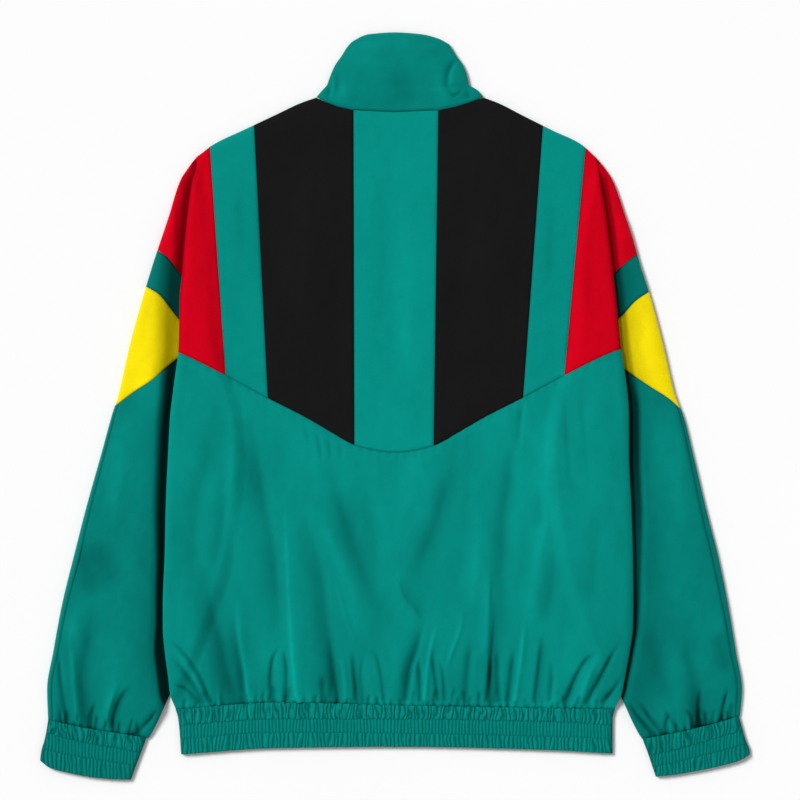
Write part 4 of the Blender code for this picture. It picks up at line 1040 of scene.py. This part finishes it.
# the front half lies on the surface, turns round the outer edge and ends at the overarm seam: columns
# on the flat, then these distances in from the outer edge, then a few over it
wrapIn = (14, 11, 9, 7.4, 5.9, 4.6, 3.4, 2.4, 1.5, 0.8, 0.3, 0.0)
flatShares, overColumns = stations(150, 3.5, nearFold), 9
flatCount = len(flatShares)
edgeCount = flatCount + len(wrapIn) - 1
columns = np.arange(edgeCount + overColumns)


def frontColumn(side, index, key):
    width = outline[side](key)
    flat = mix(tuck(key), width - wrapIn[0], np.interp(index, range(flatCount), flatShares))
    under = width - np.interp(index - flatCount + 1, range(len(wrapIn)), wrapIn)
    over = width - (overarmInset(key) - gap) * np.clip((index - edgeCount + 1) / overColumns, 0, 1)
    return side * np.where(index < flatCount, flat, np.where(index < edgeCount, under, over))


for side, word in sides.items():
    rowShares = stations(350, 2.7, nearSeam, nearSeam)
    # from the overarm seam over the ridge, down beside the body and in to the hidden edge
    place, height = net(
        lambda share, key: side * mix(tuck(key), outline[side](key) - overarmInset(key) - gap, share),
        sleeveHeights(side), stations(150, 1.5, nearFold, nearSeam), rowShares)
    level, shade = sleeveSurface(side, np.abs(place), height)
    level, shade = settle(place, height, level, shade, "last foot head")
    panel("sleeveBack" + word.title(), "sleeve_back_" + word, "green", place, height, level, shade)

    place, height = net(lambda index, key: frontColumn(side, index, key), sleeveHeights(side), columns, rowShares)
    width, isOver = np.abs(place), np.broadcast_to(columns, place.shape) >= edgeCount - 1
    top, outer = sleeveTop(side, width, height), edgeDistance(outline, place, height)
    above = height - cuffLine[side]["seam"](width)
    lowSide = np.where(outer < 15, tubeHalf(lay["floor"], top, 0, outer),
                       sleeveLevel(side, width, height, "front"))
    lifted = np.abs(gathers(width, above, 51 + side, 9, 0.5, 14))
    lifted = lifted * ease(outer / 12) * ease((width - tuck(height)) / 8)
    level = np.where(isOver, tubeHalf(top, lay["floor"], 0, outer), lowSide + lifted)
    dip = np.maximum(seamDip(place, height, "foot head"),
                     np.exp(-((overarmInset(height) - outer) / cloth["seamWidth"])**2)) * isOver
    # painted shade: darker where the cloth turns over the outer edge to the overarm seam, a little darker on the
    # flat
    shade = cloth["neutral"] * np.where(isOver, sleeve["overTone"], sleeve["frontTone"])
    panel("sleeveFront" + word.title(), "sleeve_front_" + word, "green", place, height,
          level - cloth["seamDip"] * dip, shade - cloth["seamShade"] * dip)
print("sleeves made")


# Elasticated bands: cloth shirred by rows of stitching into fine ribs

ribs = {
    "pitch": 3.6, "height": 1.25, "wander": 1.3, "rowsOfStitching": 3,
    "topPitch": 1.4,        # how much wider the ribs of the top row are, and of the bottom row
    "footPitch": 1.2, "darkest": 0.35, "lightest": 0.69, "cuffTone": 0.91,
    "fineness": 7, "hiddenFineness": 5,                        # points across each rib
    "measured": -355.0,                                        # the height where a band's length is taken
    "inset": 0.3, "frontInset": 0.6}


def newTree(name, inputs):
    tree = bpy.data.node_groups.new(name, "GeometryNodeTree")
    tree.interface.new_socket(name="Geometry", in_out="OUTPUT", socket_type="NodeSocketGeometry")
    kinds = {"Geometry": "NodeSocketGeometry", "Material": "NodeSocketMaterial", "Count": "NodeSocketInt"}
    for name in inputs:
        tree.interface.new_socket(name=name, in_out="INPUT", socket_type=kinds.get(name, "NodeSocketFloat"))
    board = Board(tree)
    entry = tree.nodes.new("NodeGroupInput")
    return tree, board, {name: Wire(board, entry.outputs[name]) for name in inputs}


def closeTree(board, shape, material):
    whole = board.get("GeometryNodeRealizeInstances", "Geometry", None, {"Geometry": shape})
    whole = board.get("GeometryNodeSetMaterial", "Geometry", None, {"Geometry": whole, "Material": material})
    exit = board.tree.nodes.new("NodeGroupOutput")
    board.plug(exit.inputs["Geometry"], whole)


def grown(piece, tree, values):
    # the tree's result as a plain mesh
    modifier = piece.modifiers.new("grown", "NODES")
    modifier.node_group = tree
    for item in tree.interface.items_tree:
        if item.in_out == "INPUT" and item.name in values:
            modifier[item.identifier] = values[item.name]
    depsgraph = bpy.context.evaluated_depsgraph_get()
    mesh = bpy.data.meshes.new_from_object(
        piece.evaluated_get(depsgraph), preserve_all_data_layers=True, depsgraph=depsgraph)
    piece.modifiers.clear()
    piece.data = mesh
    return piece


def shirringTree():
    # ribs across the "row" attribute, spaced along the "along" attribute, pinched at whole rows
    names = ("Geometry", "Rib Pitch", "Rib Height", "Wander", "Seed", "Darkest", "Lightest", "Facing", "Material")
    tree, board, given = newTree("shirring", names)

    def attribute(name):
        return board.get("GeometryNodeInputNamedAttribute", "Attribute", {"data_type": "FLOAT"}, {"Name": name})

    along, row, rim, base = attribute("along"), attribute("row"), attribute("rim"), attribute("shade")
    whole = board.maths("FLOOR", row)
    part = row - whole
    slid = board.noise(board.vector(X=along * 90, Y=whole * 7.3 + part * 0.5, Z=given["Seed"]), 1, 2)
    uneven = board.noise(board.vector(X=along * 210, Y=whole * 3.1 + part * 0.8, Z=given["Seed"] + 5), 1, 2)
    topRow, footRow = board.maths("LESS_THAN", row, 1.0), board.maths("GREATER_THAN", row, 2.0)
    slide = (slid - 0.5) * given["Wander"] * (1 + topRow * 2.4 + footRow * 1.0)
    fan = (uneven - 0.5) * (part - 0.5) * (topRow * 3.2 + footRow * 1.6)      # ribs that run together
    wide = 1 + topRow * (ribs["topPitch"] - 1) + footRow * (ribs["footPitch"] - 1)
    turns = (along / (given["Rib Pitch"] * wide) + slide + fan) * math.pi
    crest = board.maths("ABSOLUTE", board.maths("SINE", turns)) ** 1.2
    depth = 0.72 + (topRow + footRow) * 0.28                   # the middle row is the shallowest
    crest = crest * depth + (1 - depth) * 0.55
    puff = board.maths("SQRT", board.maths("MAXIMUM", 1 - board.maths("ABSOLUTE", part * 2 - 1) ** 9, 0.0))
    puff = 0.4 + 0.6 * puff
    strength = (0.45 + uneven * 1.1) * puff * rim * (1 + topRow * 0.35)
    offset = board.vector(Z=given["Rib Height"] * crest * strength * given["Facing"])
    shape = board.get("GeometryNodeSetPosition", "Geometry", None, {
        "Geometry": given["Geometry"], "Offset": offset})
    # painted light on the ribs' crests and painted shade between them, stored as the shade
    lit = given["Darkest"] + (given["Lightest"] - given["Darkest"]) * crest * (0.35 + 0.65 * puff)
    lit = lit * (1 + (uneven - 0.5) * (0.4 + topRow * 0.5)) * base
    shape = board.get("GeometryNodeStoreNamedAttribute", "Geometry", {"data_type": "FLOAT", "domain": "POINT"}, {
        "Geometry": shape, "Name": "shade", "Value": lit})
    closeTree(board, shape, given["Material"])
    return tree


shirring = shirringTree()


def shirredBand(name, node, columnPlace, lines, levelAt, seed, facing):
    # the rows of points are shares of the rows of ribs, from the edge up to the seam
    isCuff, rowCount = "cuff" in name, ribs["rowsOfStitching"]
    oneRow = stations(15, 1.9, (0.4, 1.0), (0.4, 1.0))
    rowShare = np.unique(np.round(np.concatenate([oneRow + row for row in range(rowCount)]), 5))[::-1]

    def rowHeight(share, key):
        heights = [lines[line](np.abs(key) if isCuff else key) for line in bandRows]
        low = np.clip(np.floor(share).astype(int), 0, rowCount - 1)
        stacked = np.stack(np.broadcast_arrays(*heights))
        first, second = (np.take_along_axis(stacked, low[None] + step, 0)[0] for step in (0, 1))
        return mix(first, second, share - low) - gap * (share < 0.01)

    length = abs(float(columnPlace(1.0, ribs["measured"]) - columnPlace(0.0, ribs["measured"])))
    fineness = ribs["hiddenFineness" if "Front" in name else "fineness"]
    u = np.linspace(0, 1, int(length / ribs["pitch"] * fineness) + 1)
    place, height = net(columnPlace, rowHeight, u, rowShare)
    row = np.broadcast_to(rowShare[:, None], place.shape)
    level, edge = levelAt(place, height)
    rim = ease(edge / 3.5) * 0.85 + 0.15
    # painted shade towards the band's edges; the cuffs a little darker all over
    tone = mix(0.6, 1.0, ease(edge / 5)) * (ribs["cuffTone"] if isCuff else 1)
    piece, points = gridMesh(name, place, height, level, tone, finishes["green"], None, {
        "along": place * mm, "row": np.minimum(row, 2.999), "rim": rim})
    grown(piece, shirring, {
        "Rib Pitch": ribs["pitch"] * mm, "Rib Height": ribs["height"] * mm, "Wander": ribs["wander"],
        "Seed": seed, "Darkest": ribs["darkest"], "Lightest": ribs["lightest"], "Facing": facing,
        "Material": finishes["green"]})
    coords = np.empty(len(piece.data.vertices) * 3)
    piece.data.vertices.foreach_get("co", coords)
    finishPanel(piece, node, cutSize(coords.reshape(points.shape)))


def hemBackLevel(place, height):
    return backLevel(place, height) - 0.2, edgeDistance(bodyEdge, place, height)


def hemFrontLevel(place, height):
    return frontLevel(place, height), np.minimum(edgeDistance(bodyEdge, place, height), np.abs(place) - 4)


def cuffEdge(place, height):
    return np.minimum(edgeDistance(cuffOuter, place, height), -edgeDistance(cuffInner, place, height))


def cuffBackLevel(place, height):
    edge = cuffEdge(place, height)
    return tubeHalf(lay["back"], lay["floor"], lay["bodyRim"], edge), edge


def cuffFrontLevel(place, height):
    edge = cuffEdge(place, height)
    return frontHalf(edge), edge


def hemPlace(share, key):
    return mix(-bodyEdge[left](key) + ribs["inset"], bodyEdge[right](key) - ribs["inset"], share)


shirredBand("hemBack", "hem_band_back", hemPlace, hemLine, hemBackLevel, 3.0, 1.0)
for side, word in sides.items():
    def hemHalfPlace(share, key):
        return side * mix(lay["opening"], bodyEdge[side](key) - ribs["frontInset"], share)

    def cuffPlace(share, key):
        return side * mix(cuffInner[side](key) + ribs["inset"], cuffOuter[side](key) - ribs["inset"], share)

    shirredBand("hemFront" + word.title(), "hem_band_front_" + word, hemHalfPlace, hemLine, hemFrontLevel,
                9.0 + side, 0.6)
    shirredBand("cuffBack" + word.title(), "cuff_back_" + word, cuffPlace, cuffLine[side], cuffBackLevel,
                21.0 + side, 1.0)
    shirredBand("cuffFront" + word.title(), "cuff_front_" + word, cuffPlace, cuffLine[side], cuffFrontLevel,
                27.0 + side, 0.6)
print("hem and cuffs made")


# Stand collar

collar = {
    "tone": 0.80, "seamTone": 0.22, "rippleSize": 0.16,
    "strokes": (
        (-1.5, (3.5, 1.6), (70, 372), (61, 362), (56, 351), (55, 342), (58, 330)),
        (0.9, (2, 6), (66, 368), (60, 350), (61, 334)),
        (-1.2, (1.3, 2), (56, 340), (59, 331), (63, 328), (68, 332), (74, 342)),
        (-1.1, (3.5, 1.6), (76, 348), (77, 336), (80, 322)),
        (1.2, (1.2, 1.6), (-68, 356), (-65, 342), (-66, 333), (-69, 322)),
        (-0.9, (1.8, 4), (-65, 356), (-61, 343), (-62, 328)),
        (-0.9, (4, 1.3), (-73, 348), (-69, 334), (-72, 322)),
        (-0.7, 15, (2, 366), (6, 338), (22, 316)), (0.8, 9, (-50, 352), (-54, 334), (-50, 314)),
        (0.7, 8, (48, 350), (50, 334), (62, 316)), (0.6, 12, (-20, 398), (-28, 372), (-34, 346)))}


def collarDistance(place, height):
    return edgeDistance(collarSide, place, height)


def collarSurface(place, height):
    fromSide, seam = collarDistance(place, height), height - onSide(collarSeam, place, np.abs(place))
    edge = np.minimum(fromSide, (collarTop(place) - height) * 1.5)
    rise, tone = creases(collar["strokes"], place, height)
    soft = ripple(place, height, 61, 70, collar["rippleSize"])
    calm = ease(edge / 8) * ease(seam / 6)
    top = lay["back"] + lay["collarPuff"] * ease(seam / 22) * ease(edge / 26)
    level = tubeHalf(top, lay["floor"], lay["bodyRim"], edge) + (rise + soft) * calm
    # painted shade: darker all over and towards the sides, with a painted highlight on the side edges and painted
    # shade and light along the folds and ripples; a dark line at the base seam
    base = cloth["neutral"] * collar["tone"] * mix(0.9, 1, ease(fromSide / 6))
    base = base + 0.05 * np.exp(-(fromSide / 1.4)**2)
    line = np.exp(-((seam - 0.2) / 1.3)**2) * ease((48 - np.abs(place)) / 6)
    return level, base + (tone * 1.5 + soft * 0.06) * calm - collar["seamTone"] * line


place, height = net(
    lambda share, key: mix(rimPlace(collarSide, left, key), rimPlace(collarSide, right, key), share),
    lambda share, key: mix(onSide(collarSeam, key, np.abs(key)) + gap, collarTop(key), share),
    stations(150, 1.9, nearFold, nearFold), stations(80, 1.9, nearSeam, nearFold))
level, shade = collarSurface(place, height)
level, shade = settle(place, height, level, shade, "foot")
panel("collarBack", "collar_back", "green", place, height, level, shade)


def plainFront(name, node, colour, place, height, distance):
    # a front half that lies flat on the surface, its seams drawn in from below
    dip = seamDip(place, height, "foot first")
    panel(name, node, colour, place, height, frontHalf(distance) + cloth["seamDip"] * dip,
          cloth["neutral"] - cloth["hiddenShade"] * dip)


for side, word in sides.items():
    place, height = net(
        lambda share, key: mix(side * lay["opening"], rimPlace(collarSide, side, key), share),
        lambda share, key: mix(collarSeam[side](np.abs(key)) + 0.7, collarTop(key), share),
        stations(75, 2.4, nearSeam, nearFold), stations(80, 2.6, nearSeam, nearSeam))
    plainFront("collarFront" + word.title(), "collar_front_" + word, "green", place, height,
               collarDistance(place, height))
print("collar made")


# Fronts, under the back: plain, with the same kind of folds and gathers

fronts = {
    "corner": (76.0, 50.0), "armholeTop": 275.5, "shoulderTop": 266.0, "foldShare": 0.42, "highest": 1.5,
    "steepest": 1.15}       # only the back's deeper folds are repeated
frontStrokes = [
    (abs(depth) * fronts["foldShare"], reach, *[(-x * 0.96 + 5, y + 6) for x, y in points])
    for depth, reach, *points in lowerBack["strokes"] if abs(depth) > fronts["steepest"]]


def frontEdge(side, height):
    high, low = fronts["corner"]
    share = ease((high - height) / (high - low))
    return mix(armhole[side](height) - 0.1, bodyEdge[side](height) - cloth["edgeInset"], share)


def frontTop(side, place):
    return topEdge(side * np.minimum(np.abs(place), armhole[side](fronts["armholeTop"])))


for side, word in sides.items():
    place, height = net(
        lambda share, key: side * mix(lay["opening"], frontEdge(side, key), share),
        lambda share, key: mix(hemLine["seam"](key) + gap, frontTop(side, key), share),
        stations(235, 3.7, nearSeam, nearFold), stations(620, 4.6, nearSeam, nearFold))
    above = height - hemLine["seam"](place)
    rise, tone = creases(frontStrokes, place, height)
    inside = ease((frontEdge(side, height) - np.abs(place)) / 14) * ease((np.abs(place) - 8) / 10)
    inside = inside * ease((topEdge(place) - height) / 25)
    lifted = np.maximum(rise, 0) + np.abs(gathers(place, above, 71 + side, 9, 0.6, 15))
    lifted = np.minimum(lifted, fronts["highest"] - lay["floor"]) * inside
    dip = seamDip(place, height, "foot first")
    # painted shade: darker where the cloth is lifted
    panel("front" + word.title(), "front_" + word, "green", place, height,
          frontLevel(place, height) + lifted + cloth["seamDip"] * dip,
          cloth["neutral"] - 0.10 * lifted - cloth["seamShade"] * dip)

    place, height = net(
        lambda share, key: mix(side * (armhole[side](key) + 0.1), rimPlace(outline, side, key), share),
        lambda share, key: mix(bandSeam["redGreen"][side](np.abs(key)) + 0.3, fronts["shoulderTop"], share),
        stations(50, 2.4, nearSeam, nearFold), stations(140, 3, nearSeam, nearSeam))
    plainFront("shoulderFront" + word.title(), "shoulder_front_" + word, "red", place, height,
               edgeDistance(outline, place, height))
print("fronts made")


# Topstitching

stitching = {
    "stitch": 2.3, "gap": 1.0, "thread": 0.28, "deepThread": 0.2, "proud": 0.42,
    "overCollarSeam": 3.0, "underCollarTop": 4.0, "besideOverarm": 2.6}


def stitchTree():
    names = ("Geometry", "Stitch Length", "Stitch Gap", "Thread Radius", "Seed", "Material")
    tree, board, given = newTree("stitches", names)
    path = board.get("GeometryNodeMeshToCurve", "Curve", None, {"Mesh": given["Geometry"]})
    points = board.add("GeometryNodeCurveToPoints", {"mode": "LENGTH"}, {
        "Curve": path, "Length": given["Stitch Length"] + given["Stitch Gap"]})
    turn = board.get("FunctionNodeAlignRotationToVector", "Rotation", {"axis": "Z"}, {
        "Vector": Wire(board, points.outputs["Tangent"])})
    bead = board.get("GeometryNodeMeshUVSphere", "Mesh", None, {"Segments": 6, "Rings": 4, "Radius": 1.0})
    size = board.vector(X=given["Thread Radius"], Y=given["Thread Radius"], Z=given["Stitch Length"] * 0.5)
    bead = board.get("GeometryNodeTransform", "Geometry", None, {"Geometry": bead, "Scale": size})
    vary = board.get("FunctionNodeRandomValue", "Value", {"data_type": "FLOAT"}, {
        "Min": 0.86, "Max": 1.08, "Seed": 4})
    shape = board.get("GeometryNodeInstanceOnPoints", "Instances", None, {
        "Points": Wire(board, points.outputs["Points"]), "Instance": bead, "Rotation": turn, "Scale": vary})
    shape = board.get("GeometryNodeSetShadeSmooth", "Geometry", None, {"Geometry": shape})
    closeTree(board, shape, given["Material"])
    return tree


stitches = stitchTree()


def sewn(name, lines, finish=threadFinish, thread=stitching["thread"]):
    # each line is rows of (place, height, level), already on the cloth
    points, edges = [], []
    for line in lines:
        start = len(points)
        points += [(x * mm, y * mm, (z + stitching["proud"]) * mm) for x, y, z in line]
        edges += [(i, i + 1) for i in range(start, len(points) - 1)]
    mesh = bpy.data.meshes.new(name)
    mesh.from_pydata(points, edges, [])
    piece = linked(name, mesh)
    grown(piece, stitches, {
        "Stitch Length": stitching["stitch"] * mm, "Stitch Gap": stitching["gap"] * mm,
        "Thread Radius": thread * mm, "Material": finish})
    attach(piece, "root")


def stitchLine(place, height, surface):
    return list(zip(place, height, surface(place, height)[0]))


place = np.linspace(-228, 238, 400)
height = yokeSeam(np.abs(place)) - lowerBack["topstitch"]
sewn("yokeStitching", [stitchLine(place, height, lowerBackSurface)])
place = np.linspace(-72, 78, 160)
height = onSide(collarSeam, place, np.abs(place)) + stitching["overCollarSeam"]
sewn("collarSeamStitching", [stitchLine(place, height, collarSurface)])
place = np.linspace(-42, 51, 120)
sewn("collarTopStitching", [stitchLine(place, collarTop(place) - stitching["underCollarTop"], collarSurface)])
for side, word in sides.items():
    height = np.linspace(-332, -6, 260)
    width = outline[side](height) - overarmInset(height) - stitching["besideOverarm"]
    sewn("overarmStitching" + word.title(), [list(zip(side * width, height, sleeveSurface(side, width, height)[0]))])


def scalloped(along):
    # the elastic pulls its stitching into small uneven waves
    return 0.45 * np.abs(np.sin(along / 2.3 + 1.5 * np.sin(along / 17))) - 0.2


place = np.linspace(-226, 226, 1400)
sewn("hemStitching", [
    [(x, y, z - 0.1) for x, y, z in zip(
        place, hemLine[line](place) + scalloped(place), hemBackLevel(place, hemLine[line](place))[0])]
    for line in ("stitchOne", "stitchTwo")], shadedThread, stitching["deepThread"])
cuffLines = []
for side in sides:
    for line in ("stitchOne", "stitchTwo"):
        width = np.linspace(272, 370, 320)
        height = cuffLine[side][line](width)
        keep = (width > cuffInner[side](height) + 3) & (width < cuffOuter[side](height) - 3)
        cuffLines.append([(side * x, y + scalloped(x), lay["back"] - 0.05)
                          for x, y in zip(width[keep], height[keep])])
sewn("cuffStitching", cuffLines, shadedThread, stitching["deepThread"])
print("stitching made")


# Zip, closed, under the centre of the fronts

zipParts = {
    "foot": -362.0, "head": 380.5, "tape": 10.5, "tapeLevel": 1.15, "ridge": 0.25, "ridgeWidth": 2.2,
    "tone": 0.75,
    "pitch": 2.6, "tooth": (3.4, 1.3, 1.7), "reach": 1.0, "teethLevel": 0.95}

place, height = np.meshgrid(np.linspace(-zipParts["tape"], zipParts["tape"], 11),
                            np.linspace(zipParts["foot"], zipParts["head"], 200))
level = zipParts["tapeLevel"] + zipParts["ridge"] * np.exp(-(place / zipParts["ridgeWidth"])**2)
piece, points = gridMesh("zipTape", place, height, level, cloth["neutral"] * zipParts["tone"], finishes["green"])
finishPanel(piece, "zip", cutSize(points))


def teethTree():
    # teeth in turn to the left and to the right of a line
    tree, board, given = newTree("zipTeeth", ("Count", "Pitch", "Reach", "Foot", "Level", "Material"))
    line = board.get("GeometryNodeMeshLine", "Mesh", {"mode": "OFFSET"}, {
        "Count": given["Count"], "Start Location": board.vector(Y=given["Foot"], Z=given["Level"]),
        "Offset": board.vector(Y=given["Pitch"] * 0.5)})
    hand = board.maths("MODULO", board.get("GeometryNodeInputIndex", "Index"), 2.0) * 2 - 1
    line = board.get("GeometryNodeSetPosition", "Geometry", None, {
        "Geometry": line, "Offset": board.vector(X=hand * given["Reach"])})
    tooth = board.get("GeometryNodeMeshUVSphere", "Mesh", None, {
        "Segments": 8, "Rings": 4, "Radius": 0.5 * mm})
    tooth = board.get("GeometryNodeTransform", "Geometry", None, {"Geometry": tooth, "Scale": zipParts["tooth"]})
    shape = board.get("GeometryNodeInstanceOnPoints", "Instances", None, {"Points": line, "Instance": tooth})
    shape = board.get("GeometryNodeSetShadeSmooth", "Geometry", None, {"Geometry": shape})
    closeTree(board, shape, given["Material"])
    return tree


teeth = linked("zipTeeth", bpy.data.meshes.new("zipTeeth"))
grown(teeth, teethTree(), {
    "Count": int((zipParts["head"] - zipParts["foot"]) / zipParts["pitch"] * 2), "Pitch": zipParts["pitch"] * mm,
    "Reach": zipParts["reach"] * mm, "Foot": zipParts["foot"] * mm, "Level": zipParts["teethLevel"] * mm,
    "Material": zipFinish})
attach(teeth, "root")
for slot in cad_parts["zip_slider"].material_slots:
    slot.material = zipFinish
print("zip made")


# Floor, light and camera

studio = {
    "floor": (0.93, 0.95), "world": 0.42, "key": 2.75, "keyFrom": (-0.62, 0.45, 0.78), "keySoftness": 24.0,
    "camera": (5.3, 6.4, 6000.0), "viewLevel": 5.0, "viewWidth": 849.2, "sensor": 36.0}

made, board, surface = newMaterial("paleFloor", Roughness=0.9, Specular_IOR_Level=0.0)
cloud = board.noise(board.get("ShaderNodeTexCoord", "Object"), 3, 2)
board.plug(surface.inputs["Base Color"], board.colour(
    cloud, *((tone, tone, tone, 1) for tone in studio["floor"])))
mesh = bpy.data.meshes.new("floor")
mesh.from_pydata([(-6, -6, 0), (6, -6, 0), (6, 6, 0), (-6, 6, 0)], [], [(0, 1, 2, 3)])
mesh.materials.append(made)
linked("floor", mesh)

world = bpy.data.worlds.new("studio")
world.use_nodes = True
background = world.node_tree.nodes["Background"]
background.inputs["Color"].default_value = (1, 1, 1, 1)
background.inputs["Strength"].default_value = studio["world"]
bpy.context.scene.world = world

lamp = bpy.data.lights.new("keyLight", "SUN")
lamp.energy, lamp.angle = studio["key"], math.radians(studio["keySoftness"])
keyLight = linked("keyLight", lamp)
x, y, z = studio["keyFrom"]
keyLight.rotation_euler = (math.atan2(math.hypot(x, y), z), 0, math.atan2(y, x) + math.pi / 2)

camera = linked("camera", bpy.data.cameras.new("camera"))
camera.location = [part * mm for part in studio["camera"]]
camera.data.sensor_width = studio["sensor"]
camera.data.lens = studio["sensor"] * (studio["camera"][2] - studio["viewLevel"]) / studio["viewWidth"]
bpy.context.scene.camera = camera
bpy.context.scene.view_settings.view_transform = "Standard"

for name, (width, length, area) in sorted(cutList.items()):
    print(f"cut {name}: {width * 1000:.0f} x {length * 1000:.0f} mm, {area * 1e4:.0f} cm2")
